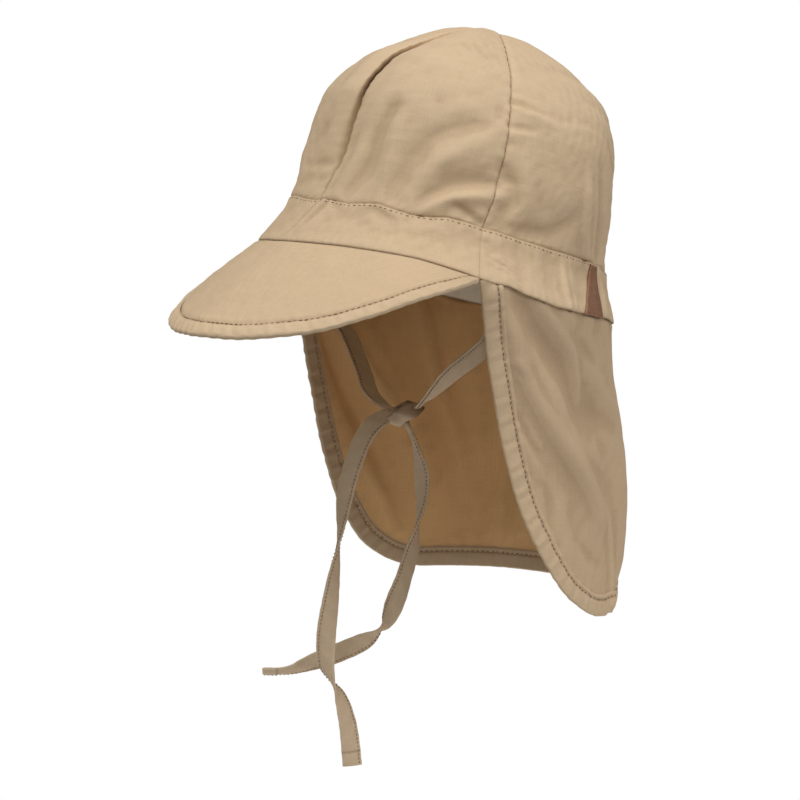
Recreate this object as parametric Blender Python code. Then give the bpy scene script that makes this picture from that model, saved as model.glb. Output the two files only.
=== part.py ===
"""A toddler's sun hat: a crown of four panels on a band, a peak, a neck flap and two knotted ties.

The hat is modelled as it is worn. The origin is the middle of the band's lower edge, +Z is up,
the peak points to -Y and the wearer's left side is at +X. The crown and the peak are worked out
in the hat's own frame, whose XY plane is the band's lower edge, and then pitched back. Angles
round the hat start at the front seam and grow towards the wearer's left.
"""

import math
from collections import namedtuple

import bmesh
import bpy
from mathutils import Matrix, Vector

# Driving sizes, in metres and degrees

RIM_HALF_WIDTH = 0.0793
RIM_HALF_LENGTH = 0.088
CROWN_HEIGHT = 0.120
PITCH = 17.7
SIDE_SEAM = 66.0

CROWN_WALL = 0.0012
PANEL_BULGE = 0.0028
BAND_HEIGHT = 0.0216
BAND_WALL = 0.0020
BAND_STEP = 0.0005
SEAM_GAP = 0.0003

CREASE_DEPTH = 0.0038
FOLD_DEPTH = 0.0030
GATHER_DEPTH = 0.0009
GATHER_COUNT = 27
GATHER_START_ANGLE = 12.0
GATHER_FADE = 0.018
CREASE_START = 0.0086
CREASE_RISE = 0.030
TOP_CALM = 0.0144

PEAK_REACH = 0.0660
PEAK_WALL = 0.0024
PEAK_EDGE_SHARE = 0.25
PEAK_END_ANGLE = 0.6
PEAK_ARCH = 0.0012
PEAK_ROLL = 0.0006
PEAK_ROLL_WIDTH = 0.0080

FLAP_HEM = 0.1530
FLAP_WALL = 0.0012
FLAP_INSET = 0.0004
FLAP_FOLD = 0.0045
BINDING_WIDTH = 0.0080
BINDING_WALL = 0.0009
BINDING_GAP = 0.0005
EDGE_FLAT_ANGLE = 5.0
EDGE_CALM_ANGLE = 18.0
HEM_CALM_SHARE = 0.16
UNDER_BAND_SHARE = 0.04
TOP_CALM_SHARE = 0.25

TAB_ANGLE = 113.0
TAB_WIDTH = 0.0160
TAB_WALL = 0.0012
TAB_LAP = 0.0012
TAB_CLEARANCE = 0.0004
TAB_FLAT_ANGLE = 12.0

TIE_WIDTH = 0.0092
TIE_WALL = 0.0014
KNOT_PLANE = 52.0
KNOT_SIZE = Vector((0.0185, 0.0105, 0.0130))

# The ties' routes, chosen by hand. The roll turns the tape about its own line.

RoutePoint = namedtuple("RoutePoint", "x y z roll")
HangPoint = namedtuple("HangPoint", "across near height roll")

KNOT_CENTRE = Vector((0.0, -0.0200, -0.0605))

TIE_LEFT = (
    RoutePoint(0.0694, -0.0196, 0.0125, 86),
    RoutePoint(0.0700, -0.0194, 0.0040, 87),
    RoutePoint(0.0682, -0.0194, -0.0070, 84),
    RoutePoint(0.0640, -0.0200, -0.0205, 64),
    RoutePoint(0.0545, -0.0215, -0.0325, 38),
    RoutePoint(0.0400, -0.0232, -0.0407, 24),
    RoutePoint(0.0240, -0.0228, -0.0492, 22),
    RoutePoint(0.0062, -0.0203, -0.0579, 25),
)

TIE_RIGHT = (
    RoutePoint(-0.0694, -0.0196, 0.0125, 94),
    RoutePoint(-0.0700, -0.0192, 0.0040, 94),
    RoutePoint(-0.0664, -0.0164, -0.0070, 102),
    RoutePoint(-0.0568, -0.0124, -0.0190, 125),
    RoutePoint(-0.0422, -0.0132, -0.0305, 140),
    RoutePoint(-0.0274, -0.0176, -0.0445, 150),
    RoutePoint(-0.0180, -0.0222, -0.0525, 155),
    RoutePoint(-0.0070, -0.0230, -0.0580, 155),
)

TIE_END_FRONT = (
    HangPoint(-0.0081, 0.0022, -0.0634, 20),
    HangPoint(-0.0172, 0.0040, -0.0690, 12),
    HangPoint(-0.0232, 0.0048, -0.0832, 16),
    HangPoint(-0.0275, 0.0050, -0.0998, 36),
    HangPoint(-0.0290, 0.0050, -0.1192, 66),
    HangPoint(-0.0306, 0.0050, -0.1343, 50),
    HangPoint(-0.0350, 0.0052, -0.1499, 22),
    HangPoint(-0.0384, 0.0054, -0.1665, 6),
    HangPoint(-0.0362, 0.0052, -0.1802, 40),
    HangPoint(-0.0329, 0.0046, -0.1887, 78),
    HangPoint(-0.0290, 0.0040, -0.1972, 50),
    HangPoint(-0.0258, 0.0036, -0.2109, 18),
    HangPoint(-0.0243, 0.0034, -0.2289, 4),
)

TIE_END_BACK = (
    HangPoint(0.0022, -0.0030, -0.0672, 30),
    HangPoint(0.0062, -0.0044, -0.0770, 18),
    HangPoint(0.0088, -0.0052, -0.0889, 10),
    HangPoint(0.0084, -0.0056, -0.1026, 40),
    HangPoint(0.0068, -0.0058, -0.1135, 74),
    HangPoint(0.0040, -0.0060, -0.1277, 50),
    HangPoint(-0.0008, -0.0062, -0.1442, 40),
    HangPoint(-0.0080, -0.0064, -0.1610, 30),
    HangPoint(-0.0190, -0.0066, -0.1722, 40),
    HangPoint(-0.0320, -0.0070, -0.1780, 50),
    HangPoint(-0.0430, -0.0070, -0.1820, 60),
    HangPoint(-0.0545, -0.0066, -0.1860, 60),
    HangPoint(-0.0660, -0.0062, -0.1865, 50),
)

# Sections. Levels are shares of the crown's height or the flap's drop, widths are shares of the rim's.

Section = namedtuple("Section", "level side front back fullness")
PeakStation = namedtuple("PeakStation", "share reach slope")
FlapSection = namedtuple("FlapSection", "level side back behind_seam")

CROWN_SECTIONS = (
    Section(0.00, 1.000, 1.000, 1.000, 0.0),
    Section(0.18, 0.855, 0.885, 0.895, 0.5),
    Section(0.38, 0.875, 0.838, 0.785, 0.9),
    Section(0.58, 0.835, 0.818, 0.740, 1.0),
    Section(0.76, 0.680, 0.698, 0.698, 1.0),
    Section(0.90, 0.390, 0.420, 0.480, 0.9),
    Section(0.975, 0.150, 0.190, 0.230, 0.6),
    Section(1.00, 0.015, 0.015, 0.015, 0.0),
)

PEAK_STATIONS = (
    PeakStation(0.00, 1.000, 52),
    PeakStation(0.20, 0.935, 54),
    PeakStation(0.40, 0.810, 54),
    PeakStation(0.60, 0.600, 51),
    PeakStation(0.80, 0.350, 40),
    PeakStation(0.93, 0.200, 22),
    PeakStation(1.00, 0.045, 8),
)

FLAP_SECTIONS = (
    FlapSection(0.00, 1.000, 1.000, 1.2),
    FlapSection(0.25, 0.945, 1.050, 6.5),
    FlapSection(0.50, 0.935, 1.110, 13.0),
    FlapSection(0.65, 0.945, 1.125, 18.5),
    FlapSection(0.79, 0.970, 1.110, 26.0),
    FlapSection(0.89, 0.995, 1.085, 33.0),
    FlapSection(0.955, 1.015, 1.065, 41.5),
    FlapSection(0.985, 1.025, 1.055, 48.0),
    FlapSection(1.00, 1.030, 1.050, 55.0),
)

# Creases run up a seam, folds are soft dents or puffs in a panel. Depths are shares of the named ones.

Crease = namedtuple("Crease", "angle depth spread")
Fold = namedtuple("Fold", "angle level angle_spread level_spread depth lean")

CREASES = (
    Crease(0.0, 1.00, 8.0),
    Crease(SIDE_SEAM, 0.22, 4.0),
    Crease(-SIDE_SEAM, 0.22, 4.0),
    Crease(180.0, 0.45, 7.0),
)

CROWN_FOLDS = (
    Fold(38, 0.24, 13, 0.05, -0.90, 0),
    Fold(-40, 0.25, 12, 0.05, -0.80, 0),
    Fold(16, 0.42, 5, 0.16, 0.70, 30),
    Fold(-13, 0.50, 6, 0.20, 0.80, -20),
    Fold(-36, 0.80, 24, 0.15, -0.95, 0),
    Fold(30, 0.48, 5, 0.16, -0.45, 40),
    Fold(52, 0.62, 7, 0.12, -0.45, -30),
    Fold(88, 0.56, 6, 0.10, -0.60, 60),
    Fold(104, 0.40, 8, 0.12, -0.50, 30),
    Fold(138, 0.34, 6, 0.14, -0.75, 10),
    Fold(150, 0.36, 6, 0.16, 0.60, 10),
    Fold(-96, 0.50, 9, 0.14, -0.60, -30),
    Fold(-140, 0.36, 8, 0.15, -0.70, 0),
)

FLAP_FOLDS = (
    Fold(86, 0.22, 5, 0.16, -0.50, 70),
    Fold(101, 0.40, 7, 0.26, 0.60, 55),
    Fold(118, 0.35, 7, 0.30, -0.60, 40),
    Fold(139, 0.58, 9, 0.42, 1.10, 10),
    Fold(160, 0.66, 10, 0.42, -0.70, 0),
    Fold(184, 0.60, 11, 0.46, 0.60, 0),
    Fold(207, 0.62, 10, 0.42, -0.70, 0),
    Fold(228, 0.60, 9, 0.42, 0.60, 0),
    Fold(250, 0.40, 8, 0.30, -0.50, -40),
    Fold(268, 0.36, 7, 0.26, 0.45, -50),
)

# How finely each piece is meshed

PANEL_COLUMNS = 12
PANEL_ROWS = 12
BAND_STEP_ANGLE = 3.2
BAND_ROWS = (0.0, 0.5, 1.0)
PEAK_COLUMNS = 28
PEAK_ROWS = 8
FLAP_COLUMNS = 38
FLAP_ROWS = 20
TIE_STEP = 0.0060

# Colours of the cloth and the leather

CLOTH_COLOUR = (0.55, 0.42, 0.27, 1.0)
TIE_COLOUR = (0.50, 0.38, 0.25, 1.0)
LEATHER_COLOUR = (0.18, 0.07, 0.03, 1.0)


def material(name, colour, roughness):
    made = bpy.data.materials.new(name)
    made.use_nodes = True
    shader = made.node_tree.nodes["Principled BSDF"]
    shader.inputs["Base Color"].default_value = colour
    shader.inputs["Roughness"].default_value = roughness
    shader.inputs["Metallic"].default_value = 0.0
    return made


def read_table(table, column, at):
    """The smooth value of a column at a place along the table's first column."""
    places = [row[0] for row in table]
    values = [getattr(row, column) for row in table]
    at = min(max(at, places[0]), places[-1])
    last = len(table) - 1
    i = max(k for k in range(last) if places[k] <= at)
    rises = [(values[k + 1] - values[k]) / (places[k + 1] - places[k]) for k in range(last)]

    def slope(k):
        if k in (0, last):
            return rises[min(k, last - 1)]
        before, after = rises[k - 1], rises[k]
        if before * after <= 0:
            return 0.0
        return 2 * before * after / (before + after)

    width = places[i + 1] - places[i]
    t = (at - places[i]) / width
    start = (2 * t**3 - 3 * t**2 + 1) * values[i] + (t**3 - 2 * t**2 + t) * width * slope(i)
    end = (3 * t**2 - 2 * t**3) * values[i + 1] + (t**3 - t**2) * width * slope(i + 1)
    return start + end


def turned(angle):
    """The angle in degrees, from -180 to 180."""
    return (angle + 180.0) % 360.0 - 180.0


def to_world(point):
    """From the hat's own frame to the world: the front of the rim is pitched up."""
    return Matrix.Rotation(math.radians(-PITCH), 3, "X") @ point


def bump(distance, spread):
    return math.exp(-((distance / spread) ** 2))


def eased(share):
    """From 0 to 1, starting and ending gently."""
    share = min(max(share, 0.0), 1.0)
    return share * share * (3.0 - 2.0 * share)


def fold_depth(folds, angle, level):
    """The sum of the soft folds at a place. A fold leans as it goes down."""
    total = 0.0
    for fold in folds:
        down = fold.level - level
        off = turned(angle - fold.angle + fold.lean * down)
        total += fold.depth * bump(off, fold.angle_spread) * bump(down, fold.level_spread)
    return total


def gather_depth(angle):
    """The puckers of the elastic in the back band, flat under the leather tab."""
    back = max(0.0, min(1.0, (abs(turned(angle)) - SIDE_SEAM) / GATHER_START_ANGLE))
    tab = 1.0 - bump(turned(angle - TAB_ANGLE), TAB_FLAT_ANGLE)
    pucker = math.cos(math.radians(GATHER_COUNT * (angle - TAB_ANGLE)))
    return GATHER_DEPTH * back * tab * pucker


def crown_base(angle, level):
    """The crown's plain surface, before its creases and folds."""
    turn = math.radians(angle)
    side = read_table(CROWN_SECTIONS, "side", level) * RIM_HALF_WIDTH
    column = "front" if math.cos(turn) > 0 else "back"
    length = read_table(CROWN_SECTIONS, column, level) * RIM_HALF_LENGTH
    from_front = abs(turned(angle))
    if from_front < SIDE_SEAM:
        across = from_front / SIDE_SEAM
    else:
        across = (from_front - SIDE_SEAM) / (180.0 - SIDE_SEAM)
    bulge = PANEL_BULGE * read_table(CROWN_SECTIONS, "fullness", level) * math.sin(math.pi * across) ** 2
    up = eased((level - 0.5) / 0.5)
    out = Vector((math.sin(turn), -math.cos(turn), up)).normalized()
    point = Vector((side * math.sin(turn), -length * math.cos(turn), level * CROWN_HEIGHT))
    return point + out * bulge


def crown_outwards(angle, level):
    """The way out of the crown's face: its normal, turned level with the rim down the band."""
    at = min(max(level, 0.02), 0.985)
    along = crown_base(angle + 1.0, at) - crown_base(angle - 1.0, at)
    up = crown_base(angle, at + 0.01) - crown_base(angle, at - 0.01)
    normal = along.cross(up).normalized()
    normal.z *= min(1.0, level * CROWN_HEIGHT / BAND_HEIGHT)
    return normal.normalized()


def crown_surface(angle, level, inwards=0.0):
    """A point of the crown's outer face, in the hat's own frame, moved inwards along the normal."""
    height = level * CROWN_HEIGHT
    crease_share = max(0.0, min(1.0, (height - CREASE_START) / CREASE_RISE))
    below_top = max(0.0, min(1.0, (CROWN_HEIGHT - height) / TOP_CALM))
    out = FOLD_DEPTH * fold_depth(CROWN_FOLDS, angle, level) * below_top * min(1.0, height / BAND_HEIGHT)
    for crease in CREASES:
        off = abs(turned(angle - crease.angle))
        out -= CREASE_DEPTH * crease.depth * crease_share * below_top * math.exp(-off / crease.spread)
    near_band = max(0.0, 1.0 - max(0.0, height - BAND_HEIGHT) / GATHER_FADE)
    out += gather_depth(angle) * near_band
    return crown_base(angle, level) + crown_outwards(angle, level) * (out - inwards)


def flap_edge_angle(level):
    """Where the flap's left free edge is at a level. The right one mirrors it."""
    return SIDE_SEAM + read_table(FLAP_SECTIONS, "behind_seam", level)


def flap_surface(angle, level):
    """The middle of the flap's cloth. Level 0 is under the band's wall and level 1 is the hem."""
    turn = math.radians(angle)
    rim = to_world(crown_surface(angle, 0.0, BAND_WALL / 2 - BAND_STEP + FLAP_INSET))
    rim -= to_world(Vector((0.0, 0.0, SEAM_GAP)))
    side = read_table(FLAP_SECTIONS, "side", level)
    back = read_table(FLAP_SECTIONS, "back", level) if math.cos(turn) < 0 else 1.0
    drop = -FLAP_HEM - rim.z
    out = Vector((math.sin(turn), -math.cos(turn), 0.0))
    edge = flap_edge_angle(level)
    from_edge = min(angle - edge, 360.0 - edge - angle)
    calm = eased((from_edge - EDGE_FLAT_ANGLE) / EDGE_CALM_ANGLE) * eased((1.0 - level) / HEM_CALM_SHARE)
    fold = FLAP_FOLD * fold_depth(FLAP_FOLDS, angle, level) * min(1.0, level / TOP_CALM_SHARE) * calm
    return Vector((rim.x * side, rim.y * back, rim.z + drop * level)) + out * fold


def flap_normal(angle, level):
    along = flap_surface(angle + 0.5, level) - flap_surface(angle - 0.5, level)
    low, high = max(level - 0.01, 0.0), min(level + 0.01, 1.0)
    up = flap_surface(angle, low) - flap_surface(angle, high)
    normal = along.cross(up).normalized()
    hat_up = to_world(Vector((0.0, 0.0, 1.0)))
    under_band = max(0.0, 1.0 - level / UNDER_BAND_SHARE)
    return (normal - hat_up * normal.dot(hat_up) * under_band).normalized()


def loop_mesh(name, points, faces, look):
    """A named object from points and faces, with smooth shading and faces turned outwards."""
    mesh = bpy.data.meshes.new(name)
    mesh.from_pydata([tuple(p) for p in points], [], faces)
    work = bmesh.new()
    work.from_mesh(mesh)
    bmesh.ops.triangulate(work, faces=work.faces[:])
    bmesh.ops.recalc_face_normals(work, faces=work.faces[:])
    work.to_mesh(mesh)
    work.free()
    mesh.shade_smooth()
    mesh.set_sharp_from_angle(angle=math.radians(40))
    mesh.materials.append(look)
    made = bpy.data.objects.new(name, mesh)
    bpy.context.scene.collection.objects.link(made)
    return made


def shell(name, outer, inner, look):
    """A closed wall between two grids of points that have the same rows and columns."""
    rows, columns = len(outer), len(outer[0])
    points = [p for row in outer for p in row] + [p for row in inner for p in row]
    half = rows * columns
    faces = []
    for r in range(rows - 1):
        for c in range(columns - 1):
            a = r * columns + c
            quad = (a, a + 1, a + columns + 1, a + columns)
            faces.append(quad)
            faces.append(tuple(half + k for k in reversed(quad)))
    border = [c for c in range(columns)]
    border += [r * columns + columns - 1 for r in range(1, rows)]
    border += [(rows - 1) * columns + c for c in range(columns - 2, -1, -1)]
    border += [r * columns for r in range(rows - 2, 0, -1)]
    for i, a in enumerate(border):
        b = border[(i + 1) % len(border)]
        faces.append((b, a, half + a, half + b))
    return loop_mesh(name, points, faces, look)


def sweep(name, loops, look):
    """A closed solid through loops of points, capped at both ends."""
    sides = len(loops[0])
    points = [p for loop in loops for p in loop]
    faces = []
    for i in range(len(loops) - 1):
        for k in range(sides):
            a = i * sides + k
            b = i * sides + (k + 1) % sides
            faces.append((a, b, b + sides, a + sides))
    first, last = list(range(sides)), [(len(loops) - 1) * sides + k for k in range(sides)]
    if sides == 4:
        caps = [tuple(first), tuple(last)]
    else:
        caps = []
        for end in (first, last):
            caps += [(end[k], end[k + 1], end[sides - 2 - k], end[sides - 1 - k])
                     for k in range(sides // 2 - 1)]
    return loop_mesh(name, points, faces + caps, look)


def panel(name, start, end, look):
    """One crown panel from one seam to the next, with a seam gap at each side."""
    band_level = BAND_HEIGHT / CROWN_HEIGHT
    bottom = band_level + SEAM_GAP / CROWN_HEIGHT
    outer, inner = [], []
    for r in range(PANEL_ROWS + 1):
        level = bottom + (1.0 - bottom) * math.sin(math.pi / 2 * r / PANEL_ROWS)
        radius = crown_base(start, level).xy.length
        margin = math.degrees(SEAM_GAP / 2 / radius)
        first, last = start + margin, end - margin
        angles = [first + (last - first) * c / PANEL_COLUMNS for c in range(PANEL_COLUMNS + 1)]
        outer.append([to_world(crown_surface(a, level)) for a in angles])
        inner.append([to_world(crown_surface(a, level, CROWN_WALL)) for a in angles])
    return shell(name, outer, inner, look)


def band(name, start, end, look):
    """A stretch of the band, a little proud of the crown above it."""
    margin = math.degrees(SEAM_GAP / 2 / RIM_HALF_WIDTH)
    steps = round((end - start) / BAND_STEP_ANGLE)
    first, last = start + margin, end - margin
    angles = [first + (last - first) * c / steps for c in range(steps + 1)]
    levels = [BAND_HEIGHT / CROWN_HEIGHT * share for share in BAND_ROWS]
    outer = [[to_world(crown_surface(a, v, -BAND_STEP)) for a in angles] for v in levels]
    inner = [[to_world(crown_surface(a, v, BAND_WALL - BAND_STEP)) for a in angles] for v in levels]
    return shell(name, outer, inner, look)


def peak_edge(share):
    """The peak's outer edge, and the direction in which it reaches out from the rim."""
    angle = share * (SIDE_SEAM - PEAK_END_ANGLE)
    turn = math.radians(angle)
    rim = crown_surface(angle, 0.0, -BAND_STEP)
    out = Vector((math.sin(turn) / RIM_HALF_WIDTH, -math.cos(turn) / RIM_HALF_LENGTH, 0.0))
    out.normalize()
    reach = read_table(PEAK_STATIONS, "reach", abs(share)) * PEAK_REACH
    slope = math.radians(read_table(PEAK_STATIONS, "slope", abs(share)))
    way = out * math.cos(slope) - Vector((0.0, 0.0, math.sin(slope)))
    lift = out * math.sin(slope) + Vector((0.0, 0.0, math.cos(slope)))
    return rim - Vector((0.0, 0.0, SEAM_GAP)), out, way, lift, reach


def peak_point(share, along, down):
    """A point of the peak: along 0 is the rim and 1 the edge, and down goes into its thickness."""
    rim, out, way, lift, reach = peak_edge(share)
    if along < 0:
        return rim + out * along * BAND_WALL - Vector((0.0, 0.0, down))
    arch = PEAK_ARCH * math.sin(math.pi * along) * reach / PEAK_REACH
    from_edge = (1.0 - along) * reach
    roll = PEAK_ROLL * bump(from_edge - PEAK_ROLL_WIDTH / 2, PEAK_ROLL_WIDTH / 2)
    roll *= eased(along * reach / PEAK_ROLL_WIDTH)
    return rim + way * along * reach + lift * (arch + roll - down)


def peak(look):
    """The peak: its root lies flat under the band, and its edge is thinned to round it."""
    top, under = [], []
    shares = [2.0 * c / PEAK_COLUMNS - 1.0 for c in range(PEAK_COLUMNS + 1)]
    for r in range(-1, PEAK_ROWS + 1):
        along = -1.0 if r < 0 else r / PEAK_ROWS
        at_edge = PEAK_EDGE_SHARE if r == PEAK_ROWS else 0.0
        top.append([to_world(peak_point(s, along, at_edge * PEAK_WALL)) for s in shares])
        under.append([to_world(peak_point(s, along, (1.0 - at_edge) * PEAK_WALL)) for s in shares])
    return shell("peak", top, under, look)


def flap_levels():
    """Rows down the flap, closer together where its corners turn."""
    return [math.sin(math.pi / 2 * r / FLAP_ROWS) for r in range(FLAP_ROWS + 1)]


def flap_columns():
    """Shares of the way across the flap, closer together by its free edges."""
    shares = [c / FLAP_COLUMNS for c in range(FLAP_COLUMNS + 1)]
    return [(s + 0.5 - 0.5 * math.cos(math.pi * s)) / 2 for s in shares]


def flap(look):
    outer, inner = [], []
    for level in flap_levels():
        edge = flap_edge_angle(level)
        angles = [edge + (360.0 - 2 * edge) * s for s in flap_columns()]
        outer.append([flap_surface(a, level) + flap_normal(a, level) * FLAP_WALL / 2 for a in angles])
        inner.append([flap_surface(a, level) - flap_normal(a, level) * FLAP_WALL / 2 for a in angles])
    return shell("neck_flap", outer, inner, look)


def flap_edge_places():
    """Angle and level along the flap's free edge: down the left side, round the hem and up the right."""
    left = [(flap_edge_angle(level), level) for level in flap_levels()]
    corner = left[-1][0]
    hem = [(corner + (360.0 - 2 * corner) * s, 1.0) for s in flap_columns()[1:-1]]
    right = [(360.0 - angle, level) for angle, level in reversed(left)]
    return left + hem + right


def binding_loop(before, place, after):
    """The binding's U section at a place on the edge, its legs following the flap's faces."""
    angle, level = place
    here = flap_surface(angle, level)
    along = (flap_surface(*after) - flap_surface(*before)).normalized()
    normal = flap_normal(angle, level)
    into = normal.cross(along).normalized()
    step_angle = (flap_surface(angle + 0.5, level) - flap_surface(angle - 0.5, level))
    low, high = max(level - 0.01, 0.0), min(level + 0.01, 1.0)
    step_level = (flap_surface(angle, high) - flap_surface(angle, low)) / (high - low)
    # Solve for the move in angle and level that goes straight in from the edge
    aa, ab, bb = step_angle.dot(step_angle), step_angle.dot(step_level), step_level.dot(step_level)
    ra, rb = into.dot(step_angle), into.dot(step_level)
    det = aa * bb - ab * ab
    move_angle = (ra * bb - rb * ab) / det
    move_level = (rb * aa - ra * ab) / det

    def inner_place(distance):
        level_there = level + move_level * distance
        if level == 0.0:
            level_there = 0.0
        at = angle + move_angle * distance, min(max(level_there, 0.0), 1.0)
        return flap_surface(*at), flap_normal(*at)

    slot = FLAP_WALL / 2 + BINDING_GAP
    skin = slot + BINDING_WALL
    tip = here - into * BINDING_GAP
    end = here - into * (BINDING_GAP + BINDING_WALL)
    legs = [inner_place(BINDING_WIDTH * share) for share in (0.0, 0.5, 1.0)]
    outer = [p + n * skin for p, n in legs]
    inner = [p - n * skin for p, n in legs]
    slot_out = [p + n * slot for p, n in legs]
    slot_in = [p - n * slot for p, n in legs]
    slot_out[0] = tip + normal * slot
    slot_in[0] = tip - normal * slot
    round_out, round_in = end + normal * slot, end - normal * slot
    return [outer[2], outer[1], outer[0], round_out, round_in, inner[0], inner[1], inner[2],
            slot_in[2], slot_in[1], slot_in[0], slot_out[0], slot_out[1], slot_out[2]]


def binding(look):
    places = flap_edge_places()
    loops = []
    for i, place in enumerate(places):
        before, after = places[max(i - 1, 0)], places[min(i + 1, len(places) - 1)]
        loops.append(binding_loop(before, place, after))
    return sweep("flap_binding", loops, look)


def smooth_route(points, rolls):
    """A smooth line through hand-chosen points, with a point about every tie step."""
    line = []
    last = len(points) - 1
    for i in range(last):
        p0, p1, p2, p3 = (points[min(max(k, 0), last)] for k in (i - 1, i, i + 1, i + 2))
        steps = max(1, round((p2 - p1).length / TIE_STEP))
        for s in range(steps + (i == last - 1)):
            t = s / steps
            place = 0.5 * (2 * p1 + (p2 - p0) * t + (2 * p0 - 5 * p1 + 4 * p2 - p3) * t**2
                           + (3 * p1 - p0 - 3 * p2 + p3) * t**3)
            line.append((place, rolls[i] + (rolls[i + 1] - rolls[i]) * t))
    return line


def tape(name, route, facing, look):
    """A flat tape along a route. At roll 0 its width lies across the direction it faces."""
    loops = []
    for i, (place, roll) in enumerate(route):
        ahead = route[min(i + 1, len(route) - 1)][0] - route[max(i - 1, 0)][0]
        ahead.normalize()
        across = facing.cross(ahead).normalized()
        level = ahead.cross(across).normalized()
        turn = math.radians(roll)
        wide = (across * math.cos(turn) + level * math.sin(turn)) * TIE_WIDTH / 2
        thick = (level * math.cos(turn) - across * math.sin(turn)) * TIE_WALL / 2
        loops.append([place + wide + thick, place - wide + thick,
                      place - wide - thick, place + wide - thick])
    return sweep(name, loops, look)


def world_route(rows):
    return smooth_route([Vector((r.x, r.y, r.z)) for r in rows], [r.roll for r in rows])


def hanging_route(rows):
    """The free ends hang from the knot in an upright plane that is turned from the front."""
    turn = math.radians(KNOT_PLANE)
    across = Vector((math.cos(turn), math.sin(turn), 0.0))
    near = Vector((math.sin(turn), -math.cos(turn), 0.0))
    foot = Vector((KNOT_CENTRE.x, KNOT_CENTRE.y, 0.0))
    points = [foot + across * r.across + near * r.near + Vector((0.0, 0.0, r.height)) for r in rows]
    return smooth_route(points, [r.roll for r in rows])


def knot(look):
    """The overhand knot as a rounded lump, turned with the plane in which the ends hang."""
    mesh = bpy.data.meshes.new("tie_knot")
    work = bmesh.new()
    bmesh.ops.create_uvsphere(work, u_segments=16, v_segments=10, radius=0.5)
    place = Matrix.Translation(KNOT_CENTRE) @ Matrix.Rotation(math.radians(KNOT_PLANE), 4, "Z")
    bmesh.ops.transform(work, matrix=place @ Matrix.Diagonal(KNOT_SIZE.to_4d()), verts=work.verts)
    work.to_mesh(mesh)
    work.free()
    mesh.shade_smooth()
    mesh.materials.append(look)
    made = bpy.data.objects.new("tie_knot", mesh)
    bpy.context.scene.collection.objects.link(made)
    return made


def tab(look):
    """The leather tab, laid over the back band and turned a little below its edge."""
    half = math.degrees(TAB_WIDTH / 2 / RIM_HALF_LENGTH)
    angles = [TAB_ANGLE + half * share for share in (-1.0, -0.5, 0.0, 0.5, 1.0)]
    top = (BAND_HEIGHT - SEAM_GAP) / CROWN_HEIGHT
    outer, inner = [], []
    for share in (-TAB_LAP / BAND_HEIGHT, *BAND_ROWS):
        level = top * max(share, 0.0)
        below = Vector((0.0, 0.0, top * CROWN_HEIGHT * min(share, 0.0)))
        lift = BAND_STEP + TAB_CLEARANCE
        outer.append([to_world(crown_surface(a, level, -lift - TAB_WALL) + below) for a in angles])
        inner.append([to_world(crown_surface(a, level, -lift) + below) for a in angles])
    return shell("leather_tab", outer, inner, look)


def build():
    for old in list(bpy.data.objects):
        bpy.data.objects.remove(old)
    panels = (
        ("crown_front_left", 0.0, SIDE_SEAM),
        ("crown_back_left", SIDE_SEAM, 180.0),
        ("crown_back_right", 180.0, 360.0 - SIDE_SEAM),
        ("crown_front_right", 360.0 - SIDE_SEAM, 360.0),
    )
    for name, start, end in panels:
        panel(name, start, end, material(name, CLOTH_COLOUR, 0.85))
    band("front_band", -SIDE_SEAM, SIDE_SEAM, material("front_band", CLOTH_COLOUR, 0.85))
    band("back_band", SIDE_SEAM, 360.0 - SIDE_SEAM, material("back_band", CLOTH_COLOUR, 0.85))
    peak(material("peak", CLOTH_COLOUR, 0.85))
    flap(material("neck_flap", CLOTH_COLOUR, 0.85))
    binding(material("flap_binding", CLOTH_COLOUR, 0.85))
    tab(material("leather_tab", LEATHER_COLOUR, 0.6))
    turn = math.radians(KNOT_PLANE)
    near = Vector((math.sin(turn), -math.cos(turn), 0.0))
    front = Vector((0.0, -1.0, 0.0))
    ties = (
        ("tie_left", world_route(TIE_LEFT), front),
        ("tie_right", world_route(TIE_RIGHT), front),
        ("tie_end_front", hanging_route(TIE_END_FRONT), near),
        ("tie_end_back", hanging_route(TIE_END_BACK), near),
    )
    for name, route, facing in ties:
        tape(name, route, facing, material(name, TIE_COLOUR, 0.85))
    knot(material("tie_knot", TIE_COLOUR, 0.85))


build()
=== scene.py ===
"""Looks of a toddler's sun hat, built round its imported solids.

The surfaces are worked out with the same tables as the solids, with finer folds, seams, puckers
and stitches. Angles round the hat start at the front seam and grow towards the wearer's left.
Levels go up the crown from the band's lower edge, and down the flap from the band to the hem.
"""

import math

import bmesh
import bpy
import numpy as np
from mathutils import Matrix, Vector
from mathutils.kdtree import KDTree

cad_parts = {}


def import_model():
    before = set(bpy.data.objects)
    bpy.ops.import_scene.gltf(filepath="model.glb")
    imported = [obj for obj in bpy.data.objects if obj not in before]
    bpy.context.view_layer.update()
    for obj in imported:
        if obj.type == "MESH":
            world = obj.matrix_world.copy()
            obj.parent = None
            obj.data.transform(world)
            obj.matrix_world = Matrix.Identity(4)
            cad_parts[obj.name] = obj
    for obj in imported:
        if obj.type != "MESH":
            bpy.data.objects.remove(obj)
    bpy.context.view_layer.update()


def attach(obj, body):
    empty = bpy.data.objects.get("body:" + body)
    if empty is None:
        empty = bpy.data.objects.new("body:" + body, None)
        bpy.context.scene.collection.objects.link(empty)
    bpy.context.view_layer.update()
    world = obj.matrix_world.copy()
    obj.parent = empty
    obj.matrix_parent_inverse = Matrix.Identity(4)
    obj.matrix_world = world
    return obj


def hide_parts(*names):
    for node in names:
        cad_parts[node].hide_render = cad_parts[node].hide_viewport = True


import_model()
# Sizes of the hat, as its solids have them, in metres and degrees

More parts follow.
